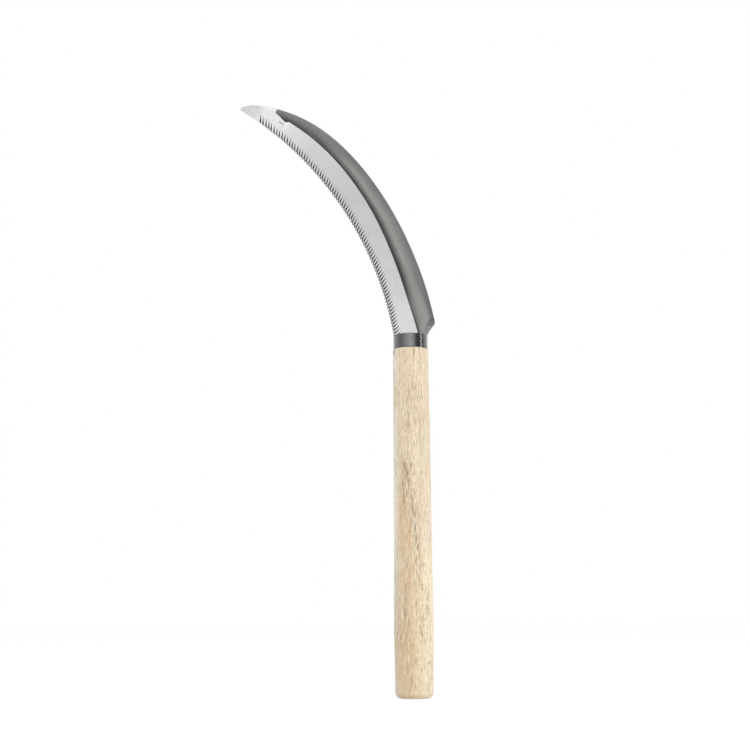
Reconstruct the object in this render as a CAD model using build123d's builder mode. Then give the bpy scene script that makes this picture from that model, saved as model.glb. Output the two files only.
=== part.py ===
from build123d import *
import math
import os

# Serrated hand sickle, upright on its butt end.
# Origin: centre of the flat butt end of the handle. +Z runs up the handle towards the
# blade, the blade lies in the XZ plane with its point towards -X, and the ground bevel
# faces -Y. All lengths are in millimetres, all angles in degrees.

# ---------------------------------------------------------------- driving dimensions
# handle: (height, radius) stations of the turned profile, a little fuller near the butt
handle_shoulder_z = 229.25
handle_profile = [
    (3.8, 12.50), (22.55, 12.66), (45.55, 12.91), (68.55, 12.72), (92.55, 12.50),
    (125.55, 12.44), (160.55, 12.26), (195.55, 12.04), (229.25, 11.88),
]
butt_face_radius = 9.3          # flat part of the butt end
butt_chamfer = [(9.95, 0.14), (10.5, 0.5), (11.6, 1.6), (12.2, 2.5)]    # (radius, height)
tenon_radius = 10.5
tenon_top_z = 238.65
kerf_width = 1.7                # saw kerf for the tang, right through the diameter
kerf_bottom_z = 193.55

# ferrule: rolled band around the tenon, with an open butt seam
ferrule_top_z = 238.95
ferrule_radius = 11.52
ferrule_seam_angle = 41.0       # from the bevel side (-Y) towards +X
ferrule_seam_gap = 0.25
ferrule_edge_round = 0.22

# blade plate
plate_back_y = 0.80             # flat reverse side
plate_front_y = -1.00           # ridge between bevel and back band
edge_thickness = 0.30
band_hollow = 0.52              # depth of the hollow behind the ridge
edge_centre = (-249.8, 198.75)   # centre of the concave cutting edge's arc, (x, z)
edge_radius = 241.8
edge_tip = (-116.7, 400.55)
edge_heel = (-11.32, 238.95)

# back of the blade from the point to the heel corner, (x, z)
spine_points = [
    (-115.6, 402.15), (-110.0, 403.3), (-103.2, 403.15), (-90.8, 400.55),
    (-68.6, 391.15), (-49.3, 376.65), (-32.7, 358.55), (-18.5, 338.35),
    (-6.6, 316.95), (3.2, 294.55), (11.1, 271.45), (16.75, 248.15),
]
# heel cut from the back's corner down to the ferrule rim
heel_points = [(16.35, 246.9), (12.95, 242.45), (11.9, 240.55), (11.35, 238.95)]
# ridge between the bevel and the back band, heel to point
ridge_points = [
    (7.3, 230.55), (4.6, 242.05), (-1.5, 263.15), (-8.1, 284.35), (-15.9, 305.15),
    (-25.2, 325.35), (-36.5, 344.35), (-49.9, 362.05), (-65.4, 377.75),
    (-83.2, 391.15), (-102.5, 401.45), (-123.0, 408.55),
]

# saw grooves, cut slanting into the bevel from the edge
tooth_count = 80
tooth_first_angle = 9.365       # heel end, about the edge arc's centre
tooth_pitch = 0.5197            # degrees at the heel, growing a little with each tooth
tooth_pitch_growth = 0.000354
groove_lean = 32.0              # towards the point, from the inward normal
groove_depth = 0.62             # at the edge, more than the edge's thickness
groove_steep_run = 1.00         # run per depth of the cutting flank
groove_shallow_run = 2.40       # run per depth of the back flank
groove_length = 5.3             # from the edge to where the floor meets the bevel
groove_reach = 6.9

# tang and its nail: a narrow neck inside the ferrule, then a full-width plate in the kerf
# whose edge stands a little proud of the wood on the point's side
tang_outline = [
    (-10.3, 239.45), (10.3, 239.45), (10.3, 228.35), (11.7, 227.25), (11.7, 198.55), (9.0, 194.85),
    (-9.6, 194.85), (-11.97, 198.05), (-11.88, 227.25), (-10.3, 228.35),
]
tang_front_y = -0.70
pin_z = 212.55
pin_radius = 1.2
pin_head_radius = 2.7
pin_head_thickness = 0.9
pin_inner_y = -8.0
tang_hole_radius = 1.45

# clear slip-on guard over the point
guard_clearance = 0.10
guard_wall = 0.35
guard_mouth_angle = 49.3        # mouth's low end, on the edge arc
guard_mouth_spine = 0.113       # mouth's high end, as a share of the back's length
guard_mouth = [(-88.1, 385.25), (-85.9, 389.75), (-88.4, 394.35), (-91.0, 397.95)]

os.makedirs("parts", exist_ok=True)

# ---------------------------------------------------------------- helper geometry
edge_plane = Plane(origin=(edge_centre[0], 0, edge_centre[1]), x_dir=(1, 0, 0), z_dir=(0, -1, 0))


def on_edge(angle, inward=0.0):
    """Point (x, z) at an angle on the edge arc, moved into the blade by inward."""
    r = edge_radius + inward
    return (
        edge_centre[0] + r * math.cos(math.radians(angle)),
        edge_centre[1] + r * math.sin(math.radians(angle)),
    )


edge_heel_angle = math.degrees(math.atan2(edge_heel[1] - edge_centre[1], edge_heel[0] - edge_centre[0]))
edge_tip_angle = math.degrees(math.atan2(edge_tip[1] - edge_centre[1], edge_tip[0] - edge_centre[0]))
edge_mid = on_edge(0.5 * (edge_heel_angle + edge_tip_angle))

with BuildLine() as ridge_line:
    ridge = Spline(*ridge_points)
with BuildLine() as spine_line:
    spine = Spline(*spine_points)
spine_samples = [spine @ (i / 600) for i in range(601)]


def distance_to_spine(x, z, nx, nz):
    """Length from a ridge point to the back of the blade along the section direction."""
    best = None
    for p in spine_samples:
        dx, dz = p.X - x, p.Y - z
        along, across = dx * nx + dz * nz, abs(dx * nz - dz * nx)
        if best is None or across < best[0]:
            best = (across, along)
    return max(best[1], 0.0) if best[0] < 3.0 else 0.0


# ---------------------------------------------------------------- blade
sections = []
with BuildPart() as blade:
    for i in range(13):
        t = i / 12
        p = ridge @ t
        d = ridge % t
        tx, tz = d.X, d.Y
        nx, nz = tz, -tx
        # width of the bevel, along the section, to the edge arc
        cx, cz = p.X - edge_centre[0], p.Y - edge_centre[1]
        b = cx * nx + cz * nz
        bevel = b - math.sqrt(max(b * b - (cx * cx + cz * cz - edge_radius**2), 0.0))
        back = distance_to_spine(p.X, p.Y, nx, nz)
        if t < 0.05:
            back = 13.4
        hollow = band_hollow * min(back / 8.0, 1.0)
        slope = (plate_back_y - edge_thickness - plate_front_y) / bevel
        out = bevel + min(1.4, 0.6 * edge_thickness / slope)
        with BuildSketch(Plane(origin=(p.X, 0, p.Y), x_dir=(nx, 0, nz), z_dir=(tx, 0, tz))) as section:
            with BuildLine():
                a = ThreePointArc(
                    (0, plate_front_y),
                    ((back + 2.5) * 0.48, plate_front_y + hollow + 0.02),
                    (back + 2.5, plate_front_y + 0.66 * hollow + 0.01),
                )
                Polyline(
                    a @ 1,
                    (back + 2.5, plate_back_y),
                    (-out, plate_back_y),
                    (-out, plate_front_y + slope * out),
                    a @ 0,
                )
            make_face()
    loft()
    # outline of the plate, shoulder resting on the ferrule rim
    with BuildSketch(Plane.XZ) as outline:
        with BuildLine():
            s = Spline(*spine_points)
            Line(s @ 1, heel_points[0])
            Line(heel_points[0], heel_points[1])
            h = Spline(*heel_points[1:])
            Line(h @ 1, edge_heel)
            ThreePointArc(edge_heel, edge_mid, edge_tip)
            ThreePointArc(edge_tip, (-116.75, 401.55), s @ 0)
        make_face()
    extrude(amount=4, both=True, mode=Mode.INTERSECT)
    # tang
    with BuildSketch(Plane.XZ.offset(-plate_back_y)) as tang_shape:
        with BuildLine():
            Polyline(*tang_outline, close=True)
        make_face()
    extrude(amount=plate_back_y - tang_front_y)
    with BuildSketch(Plane.XZ) as tang_hole:
        with Locations((0, pin_z)):
            Circle(tang_hole_radius)
    extrude(amount=4, both=True, mode=Mode.SUBTRACT)

# saw grooves, each in the frame of the edge: X into the blade, Y towards the point, Z out of the bevel
surface = -(plate_back_y - edge_thickness)
rise = groove_depth + 0.06
ridge_polar = []
for i in range(201):
    q = ridge @ (i / 200)
    dx, dz = q.X - edge_centre[0], q.Y - edge_centre[1]
    ridge_polar.append((math.degrees(math.atan2(dz, dx)), math.hypot(dx, dz) - edge_radius))


def bevel_slope(angle):
    """Height gained per mm from the edge to the ridge, at an angle on the edge arc."""
    width = min(ridge_polar, key=lambda q: abs(q[0] - angle))[1]
    return (plate_back_y - edge_thickness - plate_front_y) / width


def saw_groove(angle):
    """Leaning notch whose floor comes out of the bevel groove_length from the edge."""
    slope = bevel_slope(angle + 0.5)
    floor = (groove_depth + slope * groove_length) / (groove_length + 0.15)
    with BuildPart() as groove:
        with BuildSketch(Plane(origin=(-0.15, 0, 0), x_dir=(0, 1, 0), z_dir=(1, 0, 0))) as vee:
            Polygon(
                (0, surface - groove_depth),
                (-groove_shallow_run * rise, surface + 0.06),
                (groove_steep_run * rise, surface + 0.06),
                align=None,
            )
        apex = Vertex(
            groove_reach,
            groove_reach * math.tan(math.radians(groove_lean)),
            surface - groove_depth + floor * (groove_reach + 0.15),
        )
        loft(sections=[vee.sketch.face(), apex])
    x, z = on_edge(angle)
    place = edge_plane.location * Location((x - edge_centre[0], z - edge_centre[1], 0), (0, 0, angle))
    return groove.part.solid().moved(place)


saw_grooves = [
    saw_groove(tooth_first_angle + (tooth_pitch + tooth_pitch_growth * i) * i) for i in range(tooth_count)
]

with BuildPart() as toothed_blade:
    add(blade.part)
    add(saw_grooves, mode=Mode.SUBTRACT)

toothed_blade.part.label = "blade"
export_step(toothed_blade.part, "parts/blade.step")

# ---------------------------------------------------------------- handle
with BuildPart() as handle:
    with BuildSketch(Plane.XZ) as handle_half:
        with BuildLine():
            side = Spline(*[(r, z) for z, r in handle_profile])
            Polyline(
                side @ 1,
                (tenon_radius, handle_shoulder_z),
                (tenon_radius, tenon_top_z - 0.5),
                (tenon_radius - 0.5, tenon_top_z),
                (0, tenon_top_z),
                (0, 0),
                (butt_face_radius, 0),
            )
            ThreePointArc((butt_face_radius, 0), butt_chamfer[0], butt_chamfer[1])
            Line(butt_chamfer[1], butt_chamfer[2])
            ThreePointArc(butt_chamfer[2], butt_chamfer[3], side @ 0)
        make_face()
    revolve(axis=Axis.Z)
    # kerf for the tang
    with BuildSketch(Plane.XY.offset(kerf_bottom_z)) as kerf:
        Rectangle(40, kerf_width)
    extrude(amount=60, mode=Mode.SUBTRACT)
    # blind nail hole from the reverse side, with a seat for the nail's head
    with BuildSketch(Plane.XZ.offset(-pin_inner_y)) as nail_hole:
        with Locations((0, pin_z)):
            Circle(pin_radius)
    extrude(amount=-30, mode=Mode.SUBTRACT)
    with BuildSketch(Plane.XZ.offset(-(11.95 - pin_head_thickness))) as nail_seat:
        with Locations((0, pin_z)):
            Circle(pin_head_radius)
    extrude(amount=-8, mode=Mode.SUBTRACT)
handle.part.label = "handle"
export_step(handle.part, "parts/handle.step")

# ---------------------------------------------------------------- ferrule
with BuildPart() as ferrule:
    with BuildSketch(Plane.XY.offset(handle_shoulder_z)) as band:
        Circle(ferrule_radius)
        Circle(tenon_radius, mode=Mode.SUBTRACT)
    extrude(amount=ferrule_top_z - handle_shoulder_z)
    fillet(ferrule.edges().filter_by(GeomType.CIRCLE).sort_by(SortBy.RADIUS)[-2:], ferrule_edge_round)
    seam_dir = (math.sin(math.radians(ferrule_seam_angle)), -math.cos(math.radians(ferrule_seam_angle)))
    with BuildSketch(
        Plane(
            origin=(seam_dir[0] * 11, seam_dir[1] * 11, handle_shoulder_z - 1),
            x_dir=(seam_dir[0], seam_dir[1], 0),
            z_dir=(0, 0, 1),
        )
    ) as seam:
        Rectangle(4, ferrule_seam_gap)
    extrude(amount=14, mode=Mode.SUBTRACT)
ferrule.part.label = "ferrule"
export_step(ferrule.part, "parts/ferrule.step")

# ---------------------------------------------------------------- tang pin (nail)
with BuildPart() as tang_pin:
    with BuildSketch(Plane.XZ.offset(-11.95)) as head:
        with Locations((0, pin_z)):
            Circle(pin_head_radius)
    extrude(amount=pin_head_thickness)
    with BuildSketch(Plane.XZ.offset(-11.5)) as shank:
        with Locations((0, pin_z)):
            Circle(pin_radius)
    extrude(amount=11.5 - pin_inner_y - 2.4)
    with BuildSketch(Plane.XZ.offset(-pin_inner_y - 2.4)) as point_base:
        with Locations((0, pin_z)):
            Circle(pin_radius)
    with BuildSketch(Plane.XZ.offset(-pin_inner_y - 0.05)) as point_end:
        with Locations((0, pin_z)):
            Circle(0.25)
    loft(sections=[point_base.sketch.face(), point_end.sketch.face()])
tang_pin.part.label = "tang_pin"
export_step(tang_pin.part, "parts/tang_pin.step")

# ---------------------------------------------------------------- tip guard
def spine_offset(u, d):
    """Point (x, z) on the back of the blade at parameter u, moved outwards by d."""
    p, t = spine @ u, spine % u
    return (p.X - t.Y * d, p.Y + t.X * d)


def guard_outline(d, u_end):
    """Point of the blade grown by d: back from the mouth to the nose, nose, then the edge."""
    back = Spline(*[spine_offset(u_end * (1 - i / 7), d) for i in range(8)])
    nose_end = on_edge(edge_tip_angle, -d)
    ThreePointArc(back @ 1, (-116.78 - d, 401.5), nose_end)
    return back, nose_end


grow = guard_clearance + guard_wall
with BuildPart() as tip_guard:
    with BuildSketch(Plane.XZ.offset(-(plate_back_y + grow))) as shell_shape:
        with BuildLine():
            back, nose_end = guard_outline(grow, guard_mouth_spine)
            mouth_low = on_edge(guard_mouth_angle, -grow)
            ThreePointArc(nose_end, on_edge(0.5 * (edge_tip_angle + guard_mouth_angle), -grow), mouth_low)
            Spline(mouth_low, *guard_mouth, back @ 0)
        make_face()
    extrude(amount=plate_back_y - plate_front_y + 2 * grow)
    with BuildSketch(Plane.XZ.offset(-(plate_back_y + guard_clearance))) as pocket_shape:
        with BuildLine():
            back, nose_end = guard_outline(guard_clearance, guard_mouth_spine + 0.07)
            low = on_edge(guard_mouth_angle - 4, -guard_clearance)
            ThreePointArc(nose_end, on_edge(0.5 * (edge_tip_angle + guard_mouth_angle), -guard_clearance), low)
            Line(low, back @ 0)
        make_face()
    extrude(amount=plate_back_y - plate_front_y + 2 * guard_clearance, mode=Mode.SUBTRACT)
tip_guard.part.label = "tip_guard"
export_step(tip_guard.part, "parts/tip_guard.step")
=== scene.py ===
import bpy, bmesh, math
import numpy as np
from mathutils import Vector, Matrix
from mathutils.bvhtree import BVHTree


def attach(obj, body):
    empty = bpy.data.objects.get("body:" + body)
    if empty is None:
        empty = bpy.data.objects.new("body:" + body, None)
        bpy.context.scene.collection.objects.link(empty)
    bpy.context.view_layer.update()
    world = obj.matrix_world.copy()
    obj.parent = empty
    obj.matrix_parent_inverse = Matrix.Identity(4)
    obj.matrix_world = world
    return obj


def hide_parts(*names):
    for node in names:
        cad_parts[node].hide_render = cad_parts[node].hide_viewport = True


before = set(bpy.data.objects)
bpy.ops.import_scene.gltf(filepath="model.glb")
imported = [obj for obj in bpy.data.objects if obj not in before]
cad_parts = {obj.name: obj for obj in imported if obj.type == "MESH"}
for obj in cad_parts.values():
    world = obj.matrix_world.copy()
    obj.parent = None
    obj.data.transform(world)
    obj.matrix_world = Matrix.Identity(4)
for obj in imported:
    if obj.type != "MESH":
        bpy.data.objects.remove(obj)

bpy.context.view_layer.update()
MM = 0.001
rng = np.random.default_rng(11)

# ------------------------------------------------------------------ dimensions (mm), as in the CAD
EDGE_C = np.array([-249.8, 198.75]); EDGE_R = 241.8
EDGE_TIP = np.array([-116.7, 400.55]); EDGE_HEEL = np.array([-11.32, 238.95])
SPINE = [(-115.6, 402.15), (-110.0, 403.3), (-103.2, 403.15), (-90.8, 400.55),
         (-68.6, 391.15), (-49.3, 376.65), (-32.7, 358.55), (-18.5, 338.35),
         (-6.6, 316.95), (3.2, 294.55), (11.1, 271.45), (16.75, 248.15)]
HEEL = [(16.35, 246.9), (12.95, 242.45), (11.9, 240.55), (11.35, 238.95)]
RIDGE = [(7.3, 230.55), (4.6, 242.05), (-1.5, 263.15), (-8.1, 284.35), (-15.9, 305.15),
         (-25.2, 325.35), (-36.5, 344.35), (-49.9, 362.05), (-65.4, 377.75),
         (-83.2, 391.15), (-102.5, 401.45), (-123.0, 408.55)]
Y_BACK, Y_FRONT, T_EDGE, HOLLOW = 0.80, -1.00, 0.30, 0.52
TOOTH_N, TOOTH_A0, TOOTH_PITCH, TOOTH_GROWTH = 80, 9.365, 0.5197, 0.000354
HANDLE = [(3.8, 12.50), (22.55, 12.66), (45.55, 12.91), (68.55, 12.72), (92.55, 12.50),
          (125.55, 12.44), (160.55, 12.26), (195.55, 12.04), (229.25, 11.88)]
SHOULDER_Z, TENON_Z, TENON_R = 229.25, 238.65, 10.5
KERF_W, KERF_Z = 1.7, 193.55
FER_R, FER_TOP, SEAM_DEG, SEAM_GAP = 11.52, 238.95, 41.0, 0.25
PIN_Z, PIN_R, PIN_HEAD_R, PIN_Y = 212.55, 1.2, 2.7, 11.95
TANG = [(-10.3, 239.45), (10.3, 239.45), (10.3, 228.35), (11.7, 227.25), (11.7, 198.55), (9.0, 194.85),
        (-9.6, 194.85), (-11.97, 198.05), (-11.88, 227.25), (-10.3, 228.35)]
TANG_Y = -0.70
GUARD_ANGLE, GUARD_U = 49.3, 0.113
GUARD_MOUTH = [(-88.1, 385.25), (-85.9, 389.75), (-88.4, 394.35), (-91.0, 397.95)]
# where the dark finish of the back band stops near the point
BAND_END = [(-90.2, 403.05), (-90.9, 400.25), (-92.6, 398.25), (-89.2, 394.95), (-86.2, 391.55), (-84.9, 390.65), (-82.4, 391.1)]


# ------------------------------------------------------------------ curves
class Curve:
    """Natural cubic spline through 2-D points, by chord length, with an arc-length table."""

    def __init__(self, pts, n=4000):
        p = np.array(pts, float)
        t = np.r_[0, np.cumsum(np.hypot(*np.diff(p, axis=0).T))]
        self.t, self.p = t, p
        k = len(t)
        h = np.diff(t)
        A = np.zeros((k, k)); b = np.zeros((k, 2))
        A[0, 0] = A[-1, -1] = 1
        for i in range(1, k - 1):
            A[i, i - 1], A[i, i], A[i, i + 1] = h[i - 1], 2 * (h[i - 1] + h[i]), h[i]
            b[i] = 6 * ((p[i + 1] - p[i]) / h[i] - (p[i] - p[i - 1]) / h[i - 1])
        self.m = np.linalg.solve(A, b)
        self.h = h
        tt = np.linspace(0, t[-1], n)
        self.xy = self._at(tt)
        self.s = np.r_[0, np.cumsum(np.hypot(*np.diff(self.xy, axis=0).T))]
        self.tt = tt
        self.length = self.s[-1]

    def _at(self, t):
        t = np.atleast_1d(np.asarray(t, float))
        i = np.clip(np.searchsorted(self.t, t) - 1, 0, len(self.h) - 1)
        h = self.h[i][:, None]
        a = ((self.t[i + 1] - t)[:, None]) / h
        b = 1 - a
        return (a * self.p[i] + b * self.p[i + 1]
                + ((a**3 - a) * self.m[i] + (b**3 - b) * self.m[i + 1]) * h**2 / 6)

    def at_s(self, s):
        return self._at(np.interp(s, self.s, self.tt))


spine = Curve(SPINE)
ridge = Curve(RIDGE)
heel = Curve(HEEL[1:])


def edge_pt(deg, inward=0.0):
    a = np.radians(np.asarray(deg, float))
    r = EDGE_R + np.asarray(inward, float)
    return np.stack([EDGE_C[0] + r * np.cos(a), EDGE_C[1] + r * np.sin(a)], -1)


def edge_deg(p):
    p = np.asarray(p, float)
    return np.degrees(np.arctan2(p[..., 1] - EDGE_C[1], p[..., 0] - EDGE_C[0]))


def edge_in(p):
    p = np.asarray(p, float)
    return np.hypot(p[..., 0] - EDGE_C[0], p[..., 1] - EDGE_C[1]) - EDGE_R


A_HEEL, A_TIP = float(edge_deg(EDGE_HEEL)), float(edge_deg(EDGE_TIP))


# ------------------------------------------------------------------ mesh helpers
def link(name, mesh):
    o = bpy.data.objects.new(name, mesh)
    bpy.context.scene.collection.objects.link(o)
    return o


def make_mesh(name, verts_mm, faces, mats=None, face_mat=None):
    me = bpy.data.meshes.new(name)
    me.from_pydata((np.asarray(verts_mm, float) * MM).tolist(), [], [list(map(int, f)) for f in faces])
    for m in (mats or []):
        me.materials.append(m)
    if face_mat is not None:
        me.polygons.foreach_set("material_index", np.asarray(face_mat, np.int32))
    me.update()
    return me


def fix_normals(me):
    bm = bmesh.new(); bm.from_mesh(me)
    bmesh.ops.recalc_face_normals(bm, faces=bm.faces)
    bm.to_mesh(me); bm.free()


def tidy(me, dist=1e-7):
    """Merges doubles, removes needles and makes the normals point outwards."""
    bm = bmesh.new(); bm.from_mesh(me)
    bmesh.ops.remove_doubles(bm, verts=bm.verts, dist=dist)
    bmesh.ops.dissolve_degenerate(bm, edges=bm.edges, dist=dist)
    bmesh.ops.recalc_face_normals(bm, faces=bm.faces)
    open_edges = sum(1 for e in bm.edges if len(e.link_faces) != 2)
    bm.to_mesh(me); bm.free()
    return open_edges


def shade(me, angle_deg=35.0, sharp_test=None):
    """Smooth shading, with sharp edges by angle and by an extra test on the edge."""
    bm = bmesh.new(); bm.from_mesh(me)
    lim = math.radians(angle_deg)
    for f in bm.faces:
        f.smooth = True
    for e in bm.edges:
        s = False
        if len(e.link_faces) == 2:
            a = e.calc_face_angle(0.0)
            s = a > lim or (sharp_test is not None and sharp_test(e, a))
        e.smooth = not s
    bm.to_mesh(me); bm.free()


def set_attr(me, name, values):
    at = me.attributes.get(name) or me.attributes.new(name, "FLOAT", "POINT")
    at.data.foreach_set("value", np.asarray(values, np.float32))


def coords(me):
    co = np.zeros(len(me.vertices) * 3, np.float32)
    me.vertices.foreach_get("co", co)
    return co.reshape(-1, 3).astype(float) / MM


def boolean(obj, cutter, op, use_self=False):
    m = obj.modifiers.new("b", "BOOLEAN")
    m.operation = op
    m.object = cutter
    m.solver = "EXACT"
    m.use_self = use_self
    m.material_mode = "TRANSFER"
    dg = bpy.context.evaluated_depsgraph_get()
    me = bpy.data.meshes.new_from_object(obj.evaluated_get(dg), preserve_all_data_layers=True, depsgraph=dg)
    obj.modifiers.clear()
    old = obj.data
    obj.data = me
    bpy.data.meshes.remove(old)
    bpy.data.objects.remove(cutter)
    return obj


def grid_faces(nu, nv, off=0, wrap_v=False, flip=False):
    f = []
    for i in range(nu - 1):
        for j in range(nv if wrap_v else nv - 1):
            a, b = off + i * nv + j, off + i * nv + (j + 1) % nv
            c, d = off + (i + 1) * nv + (j + 1) % nv, off + (i + 1) * nv + j
            f.append((a, d, c, b) if flip else (a, b, c, d))
    return f


# ------------------------------------------------------------------ material helpers
class Nodes:
    def __init__(self, name):
        self.m = bpy.data.materials.new(name)
        self.m.use_nodes = True
        self.t = self.m.node_tree
        self.t.nodes.clear()
        self.out = self.t.nodes.new("ShaderNodeOutputMaterial")

    def new(self, kind, **kw):
        n = self.t.nodes.new(kind)
        for k, v in kw.items():
            setattr(n, k, v)
        return n

    def put(self, socket, value):
        if isinstance(value, bpy.types.NodeSocket):
            self.t.links.new(value, socket)
        elif value is not None:
            if socket.type == "RGBA" and not hasattr(value, "__len__"):
                value = (value, value, value, 1)
            if socket.type == "RGBA" and len(value) == 3:
                value = (*value, 1)
            socket.default_value = value

    def attr(self, name):
        return self.new("ShaderNodeAttribute", attribute_name=name).outputs["Fac"]

    def object_mm(self):
        tc = self.new("ShaderNodeTexCoord")
        v = self.new("ShaderNodeVectorMath", operation="SCALE")
        self.put(v.inputs[0], tc.outputs["Object"])
        v.inputs["Scale"].default_value = 1000.0
        return v.outputs[0]

    def math(self, op, a, b=None, c=None, clamp=False):
        n = self.new("ShaderNodeMath", operation=op, use_clamp=clamp)
        for s, v in zip(n.inputs, (a, b, c)):
            if v is not None:
                self.put(s, v)
        return n.outputs[0]

    def vmul(self, v, k):
        n = self.new("ShaderNodeVectorMath", operation="MULTIPLY")
        self.put(n.inputs[0], v)
        self.put(n.inputs[1], k)
        return n.outputs[0]

    def vadd(self, v, k):
        n = self.new("ShaderNodeVectorMath", operation="ADD")
        self.put(n.inputs[0], v)
        self.put(n.inputs[1], k)
        return n.outputs[0]

    def xyz(self, x, y, z):
        n = self.new("ShaderNodeCombineXYZ")
        self.put(n.inputs[0], x); self.put(n.inputs[1], y); self.put(n.inputs[2], z)
        return n.outputs[0]

    def sep(self, v):
        n = self.new("ShaderNodeSeparateXYZ")
        self.put(n.inputs[0], v)
        return n.outputs

    def noise(self, v, scale=1.0, detail=3.0, rough=0.5, dist=0.0):
        n = self.new("ShaderNodeTexNoise")
        self.put(n.inputs["Vector"], v)
        n.inputs["Scale"].default_value = scale
        n.inputs["Detail"].default_value = detail
        n.inputs["Roughness"].default_value = rough
        n.inputs["Distortion"].default_value = dist
        return n.outputs["Fac"]

    def voronoi(self, v, scale=1.0, rand=1.0, feature="F1"):
        n = self.new("ShaderNodeTexVoronoi", feature=feature)
        self.put(n.inputs["Vector"], v)
        n.inputs["Scale"].default_value = scale
        n.inputs["Randomness"].default_value = rand
        return n.outputs["Distance"]

    def ramp(self, fac, stops, interp="LINEAR"):
        n = self.new("ShaderNodeValToRGB")
        n.color_ramp.interpolation = interp
        el = n.color_ramp.elements
        while len(el) < len(stops):
            el.new(0.5)
        for e, (p, c) in zip(el, stops):
            e.position = p
            e.color = (c, c, c, 1) if not hasattr(c, "__len__") else (*c[:3], 1)
        self.put(n.inputs[0], fac)
        return n.outputs[0]

    def smooth(self, x, lo, hi):
        n = self.new("ShaderNodeMapRange", interpolation_type="SMOOTHSTEP")
        self.put(n.inputs["Value"], x)
        n.inputs["From Min"].default_value = lo
        n.inputs["From Max"].default_value = hi
        return n.outputs[0]

    def maprange(self, x, lo, hi, a, b, clamp=True):
        n = self.new("ShaderNodeMapRange", clamp=clamp)
        self.put(n.inputs["Value"], x)
        n.inputs["From Min"].default_value = lo
        n.inputs["From Max"].default_value = hi
        n.inputs["To Min"].default_value = a
        n.inputs["To Max"].default_value = b
        return n.outputs[0]

    def mix(self, fac, a, b, blend="MIX"):
        n = self.new("ShaderNodeMix", data_type="RGBA", blend_type=blend)
        self.put(n.inputs["Factor"], fac)
        self.put(n.inputs[6], a)
        self.put(n.inputs[7], b)
        return n.outputs[2]

    def bump(self, h, dist_mm, strength=1.0, normal=None):
        n = self.new("ShaderNodeBump")
        n.inputs["Strength"].default_value = strength
        n.inputs["Distance"].default_value = dist_mm * MM
        self.put(n.inputs["Height"], h)
        if normal is not None:
            self.put(n.inputs["Normal"], normal)
        return n.outputs[0]

    def principled(self, **kw):
        n = self.new("ShaderNodeBsdfPrincipled")
        for k, v in kw.items():
            self.put(n.inputs[k.replace("_", " ")], v)
        return n

    def done(self, shader):
        self.t.links.new(shader, self.out.inputs["Surface"])
        return self.m


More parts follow.
